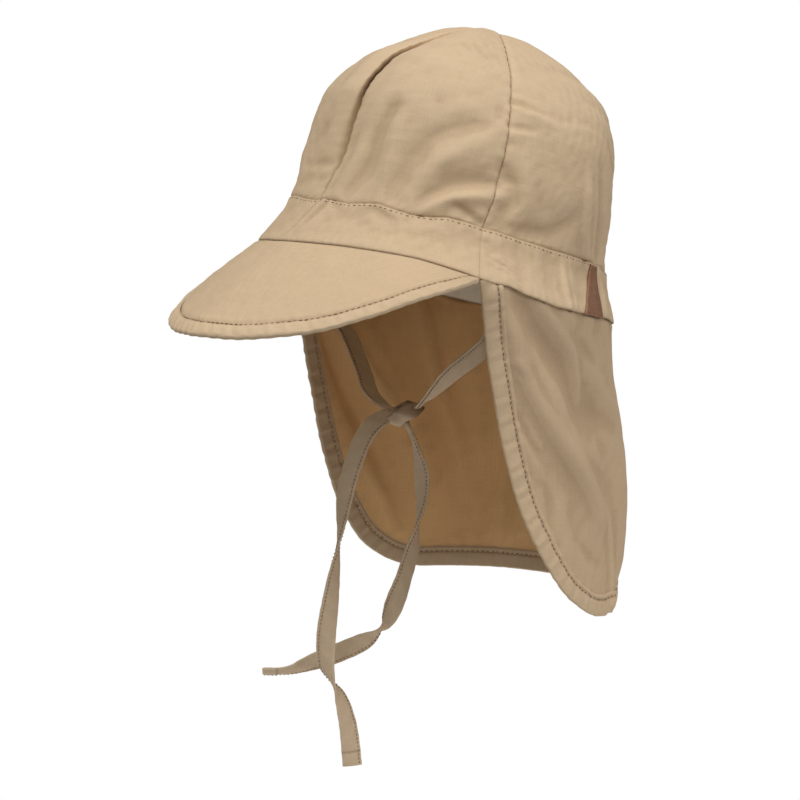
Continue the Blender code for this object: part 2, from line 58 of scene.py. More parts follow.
RIM_HALF_WIDTH = 0.0793
RIM_HALF_LENGTH = 0.088
CROWN_HEIGHT = 0.120
PITCH = 17.7
SIDE_SEAM = 66.0
CROWN_WALL = 0.0012
PANEL_BULGE = 0.0028
BAND_HEIGHT = 0.0216
BAND_WALL = 0.0020
BAND_STEP = 0.0005
SEAM_GAP = 0.0003
PEAK_REACH = 0.0660
PEAK_WALL = 0.0024
PEAK_END_ANGLE = 0.6
PEAK_ARCH = 0.0012
FLAP_HEM = 0.1530
FLAP_WALL = 0.0012
FLAP_INSET = 0.0004
TAB_ANGLE = 113.0
BAND_LEVEL = BAND_HEIGHT / CROWN_HEIGHT

# Each crown row: level, then the half width at the side, front and back, and the panels' fullness
CROWN_SECTIONS = np.array((
    (0.00, 1.000, 1.000, 1.000, 0.0),
    (0.18, 0.855, 0.885, 0.895, 0.5),
    (0.38, 0.875, 0.838, 0.785, 0.9),
    (0.58, 0.835, 0.818, 0.740, 1.0),
    (0.76, 0.680, 0.698, 0.698, 1.0),
    (0.90, 0.390, 0.420, 0.480, 0.9),
    (0.975, 0.150, 0.190, 0.230, 0.6),
    (1.00, 0.015, 0.015, 0.015, 0.0),
))

# Each peak row: share of the way from the middle to the end, reach and slope
PEAK_STATIONS = np.array((
    (0.00, 1.000, 52),
    (0.20, 0.935, 54),
    (0.40, 0.810, 54),
    (0.60, 0.600, 51),
    (0.80, 0.350, 40),
    (0.93, 0.200, 22),
    (1.00, 0.045, 8),
))

# Each flap row: level, side, back, and how far its free edge is behind the side seam
FLAP_SECTIONS = np.array((
    (0.00, 1.000, 1.000, 1.2),
    (0.25, 0.945, 1.050, 6.5),
    (0.50, 0.935, 1.110, 13.0),
    (0.65, 0.945, 1.125, 18.5),
    (0.79, 0.970, 1.110, 26.0),
    (0.89, 0.995, 1.085, 33.0),
    (0.955, 1.015, 1.065, 41.5),
    (0.985, 1.025, 1.055, 48.0),
    (1.00, 1.030, 1.050, 55.0),
))


def curve(table, column, at):
    """The smooth value of a table's column at places along its first column."""
    x, y = table[:, 0], table[:, column]
    rises = np.diff(y) / np.diff(x)
    slopes = np.concatenate([rises[:1], np.zeros(len(rises) - 1), rises[-1:]])
    product = rises[:-1] * rises[1:]
    same = product > 0
    slopes[1:-1][same] = (2 * product / (rises[:-1] + rises[1:] + 1e-30))[same]
    at = np.clip(at, x[0], x[-1])
    i = np.clip(np.searchsorted(x, at, "right") - 1, 0, len(x) - 2)
    width = x[i + 1] - x[i]
    t = (at - x[i]) / width
    start = (2 * t**3 - 3 * t**2 + 1) * y[i] + (t**3 - 2 * t**2 + t) * width * slopes[i]
    return start + (3 * t**2 - 2 * t**3) * y[i + 1] + (t**3 - t**2) * width * slopes[i + 1]


def turned(angle):
    """The angle in degrees, from -180 to 180."""
    return (angle + 180.0) % 360.0 - 180.0


def eased(share):
    """From 0 to 1, starting and ending gently."""
    share = np.clip(share, 0.0, 1.0)
    return share * share * (3.0 - 2.0 * share)


def bump(distance, spread):
    return np.exp(-((distance / spread) ** 2))


def points_of(x, y, z):
    return np.stack(np.broadcast_arrays(x, y, z), -1)


def unit(v):
    return v / np.maximum(np.linalg.norm(v, axis=-1, keepdims=True), 1e-12)


def to_world(p):
    """From the hat's own frame to the world: the front of the rim is pitched up."""
    c, s = math.cos(math.radians(PITCH)), math.sin(math.radians(PITCH))
    return points_of(p[..., 0], p[..., 1] * c + p[..., 2] * s, p[..., 2] * c - p[..., 1] * s)


def crown_base(angle, level):
    """The crown's plain surface in the hat's own frame."""
    turn = np.radians(angle)
    side = curve(CROWN_SECTIONS, 1, level) * RIM_HALF_WIDTH
    front, back = curve(CROWN_SECTIONS, 2, level), curve(CROWN_SECTIONS, 3, level)
    length = np.where(np.cos(turn) > 0, front, back) * RIM_HALF_LENGTH
    from_front = np.abs(turned(angle))
    across = np.where(from_front < SIDE_SEAM, from_front / SIDE_SEAM,
                      (from_front - SIDE_SEAM) / (180.0 - SIDE_SEAM))
    bulge = PANEL_BULGE * curve(CROWN_SECTIONS, 4, level) * np.sin(math.pi * across) ** 2
    out = unit(points_of(np.sin(turn), -np.cos(turn), eased((level - 0.5) / 0.5)))
    point = points_of(side * np.sin(turn), -length * np.cos(turn), level * CROWN_HEIGHT)
    return point + out * bulge[..., None]


def crown_out(angle, level):
    """The way out of the crown's face, level with the rim down the band."""
    at = np.clip(level, 0.02, 0.985)
    along = crown_base(angle + 1.0, at) - crown_base(angle - 1.0, at)
    up = crown_base(angle, at + 0.01) - crown_base(angle, at - 0.01)
    normal = unit(np.cross(along, up))
    normal[..., 2] *= np.minimum(1.0, level * CROWN_HEIGHT / BAND_HEIGHT)
    return unit(normal)


def flap_edge_angle(level):
    return SIDE_SEAM + curve(FLAP_SECTIONS, 3, level)


def flap_base(angle, level):
    """The middle of the flap's cloth in the world, without its folds."""
    turn = np.radians(angle)
    zero = np.zeros_like(angle)
    depth = BAND_WALL / 2 - BAND_STEP + FLAP_INSET
    rim = crown_base(angle, zero) - crown_out(angle, zero) * depth
    rim[..., 2] -= SEAM_GAP
    rim = to_world(rim)
    side = curve(FLAP_SECTIONS, 1, level)
    back = np.where(np.cos(turn) < 0, curve(FLAP_SECTIONS, 2, level), 1.0)
    drop = -FLAP_HEM - rim[..., 2]
    return points_of(rim[..., 0] * side, rim[..., 1] * back, rim[..., 2] + drop * level)
# Soft folds in the solids: angle, level, angle spread, level spread, share of the depth and lean
FOLD_DEPTH = 0.0030
FLAP_FOLD = 0.0045
FLAP_FOLDS = (
    (86, 0.22, 5, 0.16, -0.50, 70),
    (101, 0.40, 7, 0.26, 0.60, 55),
    (118, 0.35, 7, 0.30, -0.60, 40),
    (139, 0.58, 9, 0.42, 1.10, 10),
    (160, 0.66, 10, 0.42, -0.70, 0),
    (184, 0.60, 11, 0.46, 0.60, 0),
    (207, 0.62, 10, 0.42, -0.70, 0),
    (228, 0.60, 9, 0.42, 0.60, 0),
    (250, 0.40, 8, 0.30, -0.50, -40),
    (268, 0.36, 7, 0.26, 0.45, -50),
)
CROWN_FOLDS = (
    (-36, 0.80, 24, 0.15, -0.95, 0),
    (-40, 0.25, 12, 0.05, -0.50, 0),
    (138, 0.34, 6, 0.14, -0.40, 10),
    (150, 0.36, 6, 0.16, 0.60, 10),
    (-96, 0.50, 9, 0.14, -0.50, -30),
    (-140, 0.36, 8, 0.15, -0.60, 0),
)

# Drawn folds: depth outwards in millimetres, width on the left and right of the way it is drawn,
# as seen from outside, and the places it passes, each an angle, a level and a share of the depth

CROWN_STROKES = (
    # Near front panel, from the side seam down to the left
    (-2.6, 6.5, 5.5, ((64, 0.66, 0.3), (54, 0.57, 0.8), (45, 0.52, 1), (37.5, 0.45, 1), (34, 0.37, 1),
                      (32, 0.30, 1), (30, 0.255, 0.8))),
    (1.6, 5.0, 5.0, ((63, 0.56, 0.3), (50, 0.455, 0.8), (43, 0.38, 1), (41.5, 0.32, 1), (39, 0.25, 0.6))),
    (-3.1, 3.8, 7.5, ((66, 0.365, 0.7), (60, 0.355, 1), (55, 0.335, 1), (48, 0.30, 0.85), (43, 0.26, 0.6),
                      (39, 0.225, 0.2))),
    (2.0, 3.5, 2.8, ((66, 0.315, 0.5), (57, 0.287, 1), (52.5, 0.268, 1), (47.5, 0.232, 0.9), (44, 0.20, 0.5))),
    (-1.5, 2.0, 2.4, ((52, 0.245, 0.2), (58, 0.222, 1), (64.5, 0.195, 1))),
    (1.5, 4.5, 4.5, ((27, 0.56, 0.1), (25, 0.49, 0.8), (24.5, 0.40, 1), (25.5, 0.31, 1), (27, 0.25, 0.6))),
    (-2.2, 4.5, 4.0, ((25, 0.60, 0.2), (21, 0.55, 0.8), (18.5, 0.45, 1), (18, 0.37, 1), (17, 0.29, 1),
                      (13, 0.225, 0.5))),
    (1.8, 3.5, 4.0, ((14, 0.60, 0.2), (11.5, 0.45, 0.9), (11.5, 0.35, 1), (10.5, 0.27, 1), (9, 0.21, 0.6))),
    (-1.0, 6.0, 6.0, ((28, 0.62, 0.3), (38, 0.63, 1), (50, 0.66, 0.4))),
    (0.6, 8.0, 8.0, ((30, 0.76, 0.3), (42, 0.75, 1), (56, 0.76, 0.3))),
    (-0.5, 6.0, 6.0, ((24, 0.84, 0.3), (36, 0.86, 1), (50, 0.86, 0.3))),
    # Front panel on the far side
    (-0.9, 2.0, 2.6, ((-3, 0.315, 1), (-10, 0.307, 0.9), (-20, 0.30, 0.2))),
    (-0.7, 1.8, 2.4, ((-3, 0.26, 1), (-12, 0.252, 0.8), (-19, 0.25, 0.1))),
    (-0.7, 4.0, 4.0, ((-9, 0.58, 0.3), (-12, 0.45, 1), (-15, 0.34, 0.5))),
    (1.0, 6.0, 6.0, ((-24, 0.40, 0.4), (-27, 0.32, 1), (-26, 0.27, 0.6))),
    (-1.1, 4.0, 5.0, ((-38, 0.52, 0.3), (-42, 0.38, 1), (-40, 0.25, 0.7))),
    (1.0, 4.0, 4.0, ((-50, 0.48, 0.3), (-51, 0.35, 1), (-48, 0.23, 0.6))),
    (-1.3, 3.0, 3.0, ((-65, 0.46, 0.8), (-57, 0.36, 1), (-53, 0.24, 0.4))),
    # Back panel on the near side
    (-1.5, 1.7, 1.8, ((66.3, 0.69, 1), (73, 0.685, 0.9), (81, 0.672, 0.1))),
    (1.1, 3.0, 2.6, ((66.5, 0.665, 0.7), (75, 0.655, 1), (86, 0.64, 0.6), (102, 0.665, 0.4), (115, 0.66, 0.1))),
    (-1.2, 1.6, 1.8, ((66.3, 0.595, 1), (71, 0.598, 0.9), (77, 0.60, 0.1))),
    (0.8, 2.6, 2.6, ((66.5, 0.565, 0.8), (74, 0.575, 0.5), (80, 0.58, 0.1))),
    (-2.2, 3.6, 4.0, ((66.3, 0.43, 0.8), (70.5, 0.385, 1), (73, 0.32, 1), (71.5, 0.265, 0.6))),
    (1.4, 4.0, 4.0, ((74, 0.47, 0.3), (77, 0.38, 1), (79.5, 0.31, 0.8), (80, 0.27, 0.2))),
    (-1.5, 4.0, 5.0, ((70, 0.205, 0.8), (80, 0.21, 1), (90, 0.245, 1), (98, 0.31, 0.8), (101, 0.38, 0.2))),
    (1.8, 3.4, 3.6, ((104, 0.53, 0.2), (105.5, 0.42, 0.9), (108, 0.30, 1), (112, 0.20, 0.9))),
    (-3.0, 3.4, 3.0, ((112, 0.58, 0.2), (117, 0.42, 1), (120.5, 0.31, 1), (122, 0.21, 0.7))),
    (1.4, 4.0, 4.5, ((124, 0.52, 0.3), (130, 0.38, 1), (132, 0.24, 0.7))),
    (-1.6, 2.0, 2.6, ((121, 0.645, 0.4), (126, 0.60, 1), (132, 0.55, 0.3))),
    (-0.6, 5.0, 5.0, ((84, 0.52, 0.3), (92, 0.47, 1), (104, 0.45, 0.3))),
    # The back and the far side, which the photo doesn't show
    (-1.6, 4.5, 4.5, ((150, 0.62, 0.2), (151, 0.45, 1), (147, 0.30, 1), (144, 0.21, 0.6))),
    (1.2, 5.0, 5.0, ((162, 0.60, 0.2), (165, 0.42, 1), (162, 0.26, 0.8))),
    (-1.2, 5.0, 5.0, ((199, 0.62, 0.2), (200, 0.45, 1), (204, 0.30, 0.9), (206, 0.21, 0.5))),
    (1.4, 5.0, 5.0, ((214, 0.58, 0.2), (217, 0.42, 1), (220, 0.27, 0.8))),
    (-1.8, 4.5, 4.5, ((230, 0.60, 0.2), (234, 0.44, 1), (238, 0.30, 1), (240, 0.21, 0.5))),
    (1.3, 4.0, 4.0, ((247, 0.55, 0.2), (251, 0.42, 1), (255, 0.28, 0.8))),
    (-1.4, 3.4, 4.0, ((293.5, 0.50, 0.8), (283, 0.42, 1), (272, 0.30, 0.8), (268, 0.21, 0.3))),
    (1.1, 3.4, 3.4, ((293.5, 0.36, 0.6), (284, 0.31, 1), (279, 0.23, 0.6))),
    (-1.0, 1.8, 1.8, ((293.7, 0.66, 1), (286, 0.655, 0.7), (279, 0.65, 0.1))),
    (-0.7, 6.0, 6.0, ((262, 0.66, 0.3), (240, 0.70, 1), (215, 0.69, 0.3))),
    (-0.7, 6.0, 6.0, ((96, 0.76, 0.3), (118, 0.78, 1), (140, 0.74, 0.3))),
)

BAND_STROKES = (
    (-1.5, 1.3, 2.4, ((5.2, 0.170, 0.5), (4, 0.145, 1), (2, 0.10, 0.8), (0, 0.065, 0.1))),
    (0.9, 1.6, 1.5, ((2.2, 0.165, 1), (0.2, 0.12, 0.9), (-2.6, 0.07, 0.3))),
    (-0.8, 0.6, 0.6, ((0.3, 0.172, 1), (-1.8, 0.12, 1), (-4.6, 0.05, 1), (-6.4, 0.012, 1))),
    (-0.6, 2.0, 2.0, ((10, 0.162, 1), (14, 0.152, 0.5))),
    (-1.2, 1.6, 3.2, ((26, 0.158, 0.4), (30.5, 0.15, 1), (36, 0.137, 0.5))),
    (0.8, 4.0, 3.0, ((36, 0.115, 0.3), (43, 0.13, 1), (52, 0.135, 0.7))),
    (-0.6, 3.5, 3.5, ((21, 0.115, 0.5), (27, 0.10, 1), (33, 0.085, 0.3))),
    (-0.5, 4.0, 4.0, ((49, 0.10, 0.7), (55, 0.095, 0.5))),
    (0.8, 1.8, 1.8, ((67.5, 0.15, 0.8), (73, 0.142, 0.4))),
    (0.7, 1.1, 1.1, ((70.5, 0.088, 0.4), (73.5, 0.082, 1), (76.5, 0.072, 0.3))),
    (1.1, 1.0, 1.2, ((72, 0.066, 0.4), (75, 0.056, 1), (78.5, 0.042, 0.3))),
    (0.9, 0.9, 1.0, ((74, 0.042, 0.4), (77, 0.034, 1), (80, 0.024, 0.3))),
    (-0.8, 1.1, 1.1, ((71, 0.076, 0.4), (74, 0.068, 1), (77.5, 0.056, 0.3))),
    (-0.8, 1.0, 1.0, ((73, 0.053, 0.4), (76, 0.045, 1), (79, 0.033, 0.3))),
    (1.1, 2.0, 2.0, ((98, 0.168, 0.4), (99.3, 0.09, 1), (100, 0.012, 0.9))),
    (0.6, 1.2, 1.2, ((103.2, 0.16, 0.4), (103.6, 0.02, 1))),
)

FLAP_STROKES = (
    # The long bright fold from the front corner down to the right, and the hollow beside it
    (2.2, 6.0, 4.0, ((73.5, 0.03, 0.5), (78.5, 0.12, 1), (82, 0.20, 1), (86.5, 0.28, 1), (92, 0.35, 1),
                     (98, 0.43, 1), (105, 0.51, 0.9), (112, 0.59, 0.6), (118, 0.68, 0.2))),
    (-2.6, 8.0, 6.5, ((79, 0.04, 0.5), (86, 0.10, 0.9), (94, 0.17, 1), (102, 0.25, 1), (107, 0.33, 0.9),
                      (113, 0.40, 0.4))),
    (0.4, 2.6, 2.6, ((84.5, 0.11, 0.2), (88.5, 0.18, 1), (93.5, 0.26, 0.9), (99, 0.33, 0.3))),
    (1.2, 3.2, 4.6, ((90, 0.03, 0.4), (97, 0.09, 0.8), (103, 0.14, 1), (106.5, 0.22, 1), (109.5, 0.29, 0.5))),
    (-0.7, 2.6, 2.6, ((108, 0.10, 0.5), (113, 0.13, 1), (117, 0.15, 0.4))),
    (0.7, 5.0, 5.0, ((113, 0.19, 0.5), (121, 0.23, 1), (131, 0.30, 0.5))),
    (-1.1, 5.5, 5.5, ((110, 0.29, 0.3), (118, 0.33, 1), (128, 0.36, 0.9), (138, 0.42, 0.3))),
    (-0.9, 4.4, 5.0, ((112, 0.46, 0.3), (120, 0.54, 1), (126, 0.62, 0.6), (131, 0.72, 0.2))),
    (0.7, 6.0, 6.0, ((116, 0.44, 0.3), (126, 0.50, 1), (134, 0.58, 0.4))),
    # Small creases by the binding
    (-1.0, 2.0, 2.6, ((81.5, 0.345, 0.3), (84.5, 0.40, 1), (88.5, 0.455, 0.8), (92, 0.475, 0.1))),
    (0.9, 2.6, 2.4, ((82, 0.40, 0.4), (85, 0.455, 1), (88.5, 0.515, 0.5))),
    (0.8, 1.4, 1.4, ((79.8, 0.205, 1), (81.8, 0.215, 0.8), (84, 0.235, 0.1))),
    (-1.0, 2.0, 2.4, ((92.5, 0.56, 0.4), (94, 0.62, 1), (94.5, 0.69, 0.5))),
    (0.8, 3.4, 3.0, ((98.5, 0.60, 0.3), (99, 0.68, 1), (101.5, 0.78, 0.3))),
    (-0.8, 4.0, 4.0, ((106, 0.74, 0.3), (112, 0.80, 1), (118, 0.84, 0.3))),
    # The upright fold by the back corner
    (1.5, 2.6, 2.4, ((125.5, 0.66, 0.1), (126, 0.78, 0.7), (126.5, 0.88, 1), (127, 0.98, 1))),
    (-1.6, 2.2, 2.4, ((131, 0.68, 0.1), (132, 0.80, 0.8), (132.5, 0.90, 1), (133, 0.98, 1))),
    # The back and the far side
    (-1.5, 4.5, 4.5, ((152, 0.02, 0.5), (151, 0.20, 1), (149, 0.45, 0.8), (146, 0.70, 0.2))),
    (1.4, 5.0, 5.0, ((170, 0.02, 0.5), (172, 0.25, 1), (170, 0.55, 0.7), (167, 0.90, 0.4))),
    (-1.4, 5.0, 5.0, ((193, 0.02, 0.5), (195, 0.30, 1), (197, 0.60, 0.8), (198, 0.90, 0.3))),
    (1.2, 5.0, 5.0, ((214, 0.02, 0.5), (216, 0.30, 1), (217, 0.65, 0.8), (215, 0.92, 0.3))),
    (-1.2, 4.0, 4.0, ((238, 0.02, 0.5), (236, 0.25, 1), (231, 0.50, 0.6), (226, 0.75, 0.2))),
    (-1.8, 5.0, 5.0, ((283, 0.04, 0.4), (277, 0.12, 0.8), (268, 0.22, 1), (259, 0.34, 0.9), (250, 0.46, 0.4))),
    (1.8, 4.0, 4.0, ((286, 0.03, 0.3), (281, 0.14, 0.8), (275, 0.28, 1), (268, 0.42, 1), (261, 0.56, 0.7),
                     (255, 0.70, 0.3))),
    (-1.2, 4.0, 4.5, ((262, 0.60, 0.4), (256, 0.72, 1), (249, 0.86, 0.5))),
)


def layered_folds(folds, angle, level):
    """The soft folds that the solids have too. A fold leans as it goes down."""
    total = np.zeros(np.broadcast(angle, level).shape)
    for at, height, spread, rise, depth, lean in folds:
        down = height - level
        total += depth * bump(turned(angle - at + lean * down), spread) * bump(down, rise)
    return total


def stroke_depth(strokes, base, normal, surface):
    """How far, in metres, the drawn folds push out each point of a piece."""
    flat = base.reshape(-1, 3)
    out = normal.reshape(-1, 3)
    total = np.zeros(len(flat))
    for depth, left, right, line in strokes:
        line = np.array(line, float)
        t = np.arange(len(line))
        fine = np.linspace(0, len(line) - 1, 4 * len(line) - 3)
        angle, level, share = (np.interp(fine, t, line[:, k]) for k in range(3))
        if len(line) > 2:
            angle, level = smooth_line(line[:, :2], 4).T
        path = surface(angle, level)
        reach = 0.0028 * max(left, right)
        near = np.flatnonzero(((flat > path.min(0) - reach) & (flat < path.max(0) + reach)).all(1))
        if not len(near):
            continue
        p, n = flat[near], out[near]
        best = np.full(len(p), 1e9)
        value = np.zeros(len(p))
        for a, b, sa, sb in zip(path[:-1], path[1:], share[:-1], share[1:]):
            ab = b - a
            s = np.clip(((p - a) @ ab) / (ab @ ab), 0, 1)
            off = p - a - s[:, None] * ab
            distance = np.linalg.norm(off, axis=1)
            side = np.einsum("ij,ij->i", np.cross(n, ab), off) > 0
            width = np.where(side, left, right) / 1000
            closer = distance < best
            best = np.where(closer, distance, best)
            value = np.where(closer, (sa + (sb - sa) * s) * bump(distance, width), value)
        total[near] += depth / 1000 * value
    return total.reshape(base.shape[:-1])


def smooth_line(points, steps):
    """Points of a smooth line through the given ones, a fixed number for each stretch."""
    points = np.array(points, float)
    last = len(points) - 1
    line = []
    for i in range(last):
        p0, p1, p2, p3 = (points[min(max(k, 0), last)] for k in (i - 1, i, i + 1, i + 2))
        for s in range(steps):
            t = s / steps
            line.append(0.5 * (2 * p1 + (p2 - p0) * t + (2 * p0 - 5 * p1 + 4 * p2 - p3) * t**2
                               + (3 * p1 - p0 - 3 * p2 + p3) * t**3))
    line.append(points[last])
    return np.array(line)


def waves(p, size, seed):
    """A soft uneven ripple over points in space, mostly between -1 and 1, the same in each run."""
    draw = np.random.RandomState(seed)
    total = np.zeros(p.shape[:-1])
    for _ in range(9):
        way = draw.normal(size=3)
        way *= 2 * math.pi / size / np.linalg.norm(way) * draw.uniform(0.6, 1.5)
        total += np.sin(p @ way + draw.uniform(0, 2 * math.pi))
    return total / 3.0
# The photo's camera

CAMERA_AZIMUTH = 52.0
CAMERA_ELEVATION = 9.43
CAMERA_DISTANCE = 1.495
CAMERA_LENS = 143.96
CAMERA_SENSOR = 36.0
AIM_RIGHT = -0.0172
AIM_UP = -0.0556

# Folds, seams and stitches

CREASE_DEPTH = 0.0038
CREASE_START = 0.0086
CREASE_RISE = 0.030
TOP_CALM = 0.0144
CREASES = ((66.0, 0.22, 4.0), (-66.0, 0.22, 4.0), (180.0, 0.45, 7.0))
FRONT_NEAR_SPREAD = 6.5
FRONT_FAR_SPREAD = 2.2
FRONT_RIDGE = 0.0016
FRONT_RIDGE_ANGLE = -8.5
FRONT_RIDGE_SPREAD = 5.0
GATHER_DEPTH = 0.0009
GATHER_COUNT = 27
GATHER_START_ANGLE = 12.0
GATHER_FADE = 0.018
SEAM_DIP = 0.0004
SEAM_DIP_WIDTH = 0.0005
SEAM_SLIT = 0.00008
PUCKER_DEPTH = 0.00020
FRONT_OVERHANG = 0.0040
PUCKER_LENGTH = 0.0052
PUCKER_REACH = 0.0034
EDGE_FLAT_ANGLE = 5.0
EDGE_CALM_ANGLE = 18.0
HEM_CALM_SHARE = 0.16
TOP_CALM_SHARE = 0.25
BINDING_WIDTH = 0.0092
HEM_SHADE = 0.28
BINDING_STITCH = 0.0066
STITCH_PITCH = 0.0026
STITCH_LENGTH = 0.0018
THREAD = 0.00024
PEAK_STITCH = 0.0080
TIE_WIDTH = 0.0092
TIE_WALL = 0.0014
TIE_STITCH = 0.0012


def spaced(total, step, fine=0.00025, growth=1.45):
    """Distances from 0 to the total, close together at both ends."""
    ends, at, gap = [0.0], 0.0, fine
    while gap < step:
        at += gap
        ends.append(at)
        gap *= growth
    ends = np.array(ends)
    middle = np.linspace(at, total - at, max(2, int(round((total - 2 * at) / step)) + 1))
    return np.concatenate([ends[:-1], middle, (total - ends[:-1])[::-1]]) / total


def grid_normal(p):
    """The way out at each point of a grid whose columns go round the hat and whose rows go up."""
    return unit(np.cross(np.gradient(p, axis=1), np.gradient(p, axis=0)))


def hollows(p, normal, cells):
    """How hollow (over 0) or raised (under 0) a grid is at each place, in metres."""
    total = np.zeros(p.shape[:2])
    for axis in (0, 1):
        n = p.shape[axis]
        at = np.arange(n)
        k = np.minimum(cells, np.minimum(at, n - 1 - at))
        ends = np.take(p, at + k, axis) + np.take(p, at - k, axis)
        total += np.einsum("ijk,ijk->ij", ends / 2 - p, normal)
    return total


def made(name, points, faces, look, uv, painted_shade=None, wear=None, sharp=50, inside=None):
    """A named object from points and faces, with its map in metres and its marks for the material."""
    mesh = bpy.data.meshes.new(name)
    mesh.from_pydata(points.tolist(), [], faces)
    corner = np.empty(len(mesh.loops), np.int32)
    mesh.loops.foreach_get("vertex_index", corner)
    layer = mesh.uv_layers.new(name="UVMap")
    layer.data.foreach_set("uv", uv[corner].astype(np.float32).ravel())
    for mark, values in (("painted_shade", painted_shade), ("wear", wear), ("inside", inside)):
        field = mesh.attributes.new(mark, "FLOAT", "POINT")
        values = np.zeros(len(points)) if values is None else values
        field.data.foreach_set("value", np.clip(values, 0, 1).astype(np.float32).ravel())
    work = bmesh.new()
    work.from_mesh(mesh)
    bmesh.ops.recalc_face_normals(work, faces=work.faces[:])
    work.to_mesh(mesh)
    work.free()
    mesh.shade_smooth()
    mesh.set_sharp_from_angle(angle=math.radians(sharp))
    mesh.materials.append(look)
    piece = bpy.data.objects.new(name, mesh)
    bpy.context.scene.collection.objects.link(piece)
    return piece


def shell(name, outer, inner, uv, look, painted_shade, wear):
    """A closed wall between two grids with the same rows and columns."""
    rows, columns = outer.shape[:2]
    half = rows * columns
    index = np.arange(half).reshape(rows, columns)
    quads = np.stack([index[:-1, :-1], index[:-1, 1:], index[1:, 1:], index[1:, :-1]], -1).reshape(-1, 4)
    border = np.concatenate([index[0], index[1:, -1], index[-1, -2::-1], index[-2:0:-1, 0]])
    after = np.roll(border, -1)
    edge = np.stack([after, border, border + half, after + half], -1)
    faces = np.concatenate([quads, quads[:, ::-1] + half, edge]).tolist()
    points = np.concatenate([outer.reshape(-1, 3), inner.reshape(-1, 3)])
    both = [np.concatenate([a.reshape(half, -1)] * 2) for a in (uv, painted_shade, wear)]
    inner_face_mask = np.concatenate([np.zeros(half), np.ones(half)])
    return made(name, points, faces, look, both[0], both[1][:, 0], both[2][:, 0], inside=inner_face_mask)


def tube(name, loops, uv, look, painted_shade=None, wear=None, closed=False):
    """A solid through loops of points, capped at both ends or closed into a ring."""
    count, sides = loops.shape[:2]
    index = np.arange(count * sides).reshape(count, sides)
    here = index if closed else index[:-1]
    ahead = np.roll(index, -1, 0) if closed else index[1:]
    quads = np.stack([here, np.roll(here, -1, 1), np.roll(ahead, -1, 1), ahead], -1)
    faces = quads.reshape(-1, 4).tolist()
    if not closed:
        for end in (index[0], index[-1]):
            faces += [[int(end[k]), int(end[k + 1]), int(end[sides - 2 - k]), int(end[sides - 1 - k])]
                      for k in range(sides // 2 - 1)]
    marks = [None if a is None else a.reshape(-1) for a in (painted_shade, wear)]
    return made(name, loops.reshape(-1, 3), faces, look, uv.reshape(-1, 2), *marks)


def lengths_along(line):
    return np.concatenate([[0.0], np.cumsum(np.linalg.norm(np.diff(line, axis=0), axis=1))])


def even_places(line, pitch, start=0.0, end=0.0):
    """Places along a line at an even pitch, as indexes with fractions."""
    s = lengths_along(line)
    at = np.arange(start + pitch / 2, s[-1] - end, pitch)
    return np.interp(at, s, np.arange(len(line)))


def at_places(values, places):
    i = np.clip(places.astype(int), 0, len(values) - 2)
    t = (places - i)[:, None]
    return values[i] * (1 - t) + values[i + 1] * t


def stitches(name, lines, look, pitch=STITCH_PITCH, length=STITCH_LENGTH, sink=0.0):
    """Thread stitches along lines. Each line is a pair of its points and the ways out of the cloth."""
    centres, alongs, outs = [], [], []
    for line, out in lines:
        places = even_places(line, pitch)
        centres.append(at_places(line, places))
        alongs.append(unit(at_places(np.gradient(line, axis=0), places)))
        outs.append(unit(at_places(out, places)))
    centre, along, out = (np.concatenate(a) for a in (centres, alongs, outs))
    side = unit(np.cross(out, along))
    out = np.cross(along, side)
    draw = np.random.RandomState(len(centre))
    along = unit(along + side * draw.normal(0, 0.07, (len(centre), 1)))
    steps = np.array([-0.5, -0.42, -0.2, 0.0, 0.2, 0.42, 0.5])
    radii = np.array([0.35, 0.85, 1.0, 1.0, 1.0, 0.85, 0.35]) * THREAD
    lifts = np.array([-1.6, -0.4, 0.5, 0.7, 0.5, -0.4, -1.6]) * THREAD - sink
    round_at = np.radians(np.arange(6) * 60.0 + 30)
    ring = np.cos(round_at)[:, None, None] * side + np.sin(round_at)[:, None, None] * out
    spine = centre + (steps * length)[:, None, None] * along + lifts[:, None, None] * out
    points = spine[:, None] + radii[:, None, None, None] * ring[None]
    points = points.transpose(2, 0, 1, 3)
    n, rows, sides = points.shape[:3]
    index = np.arange(n * rows * sides).reshape(n, rows, sides)
    here, ahead = index[:, :-1], index[:, 1:]
    faces = np.stack([here, np.roll(here, -1, 2), np.roll(ahead, -1, 2), ahead], -1).reshape(-1, 4)
    caps = [index[:, r][:, [0, 1, 4, 5]] for r in (0, -1)] + [index[:, r][:, [1, 2, 3, 4]] for r in (0, -1)]
    faces = np.concatenate([faces] + caps).tolist()
    uv = np.stack(np.broadcast_arrays(np.arange(sides) * THREAD, (steps * length)[:, None]), -1)
    uv = np.broadcast_to(uv, (n, rows, sides, 2)).reshape(-1, 2)
    # Painted shade at each stitch's ends, where the thread dives into the cloth.
    dark = np.broadcast_to((np.abs(steps) * 2)[None, :, None] ** 3, (n, rows, sides)).reshape(-1)
    return made(name, points.reshape(-1, 3), faces, look, uv, dark, None, 80)


def dressed(piece, slot, *nodes):
    """The piece takes its place: it rides on the hat and stands for its solids; its slot is not used."""
    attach(piece, "root")
    if nodes:
        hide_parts(*nodes)
    return piece


# Materials


def nodes_of(name, colour, roughness):
    look = bpy.data.materials.new(name)
    look.use_nodes = True
    shader = look.node_tree.nodes["Principled BSDF"]
    shader.inputs["Base Color"].default_value = (*colour, 1.0)
    shader.inputs["Roughness"].default_value = roughness
    shader.inputs["Metallic"].default_value = 0.0
    return look, look.node_tree, shader


def wire(tree, kind, inputs, **settings):
    """A node with its inputs set to numbers or linked to other nodes' outputs."""
    node = tree.nodes.new(kind)
    for key, value in settings.items():
        setattr(node, key, value)
    for key, value in inputs.items():
        if isinstance(value, bpy.types.NodeSocket):
            tree.links.new(value, node.inputs[key])
        else:
            node.inputs[key].default_value = value
    return node


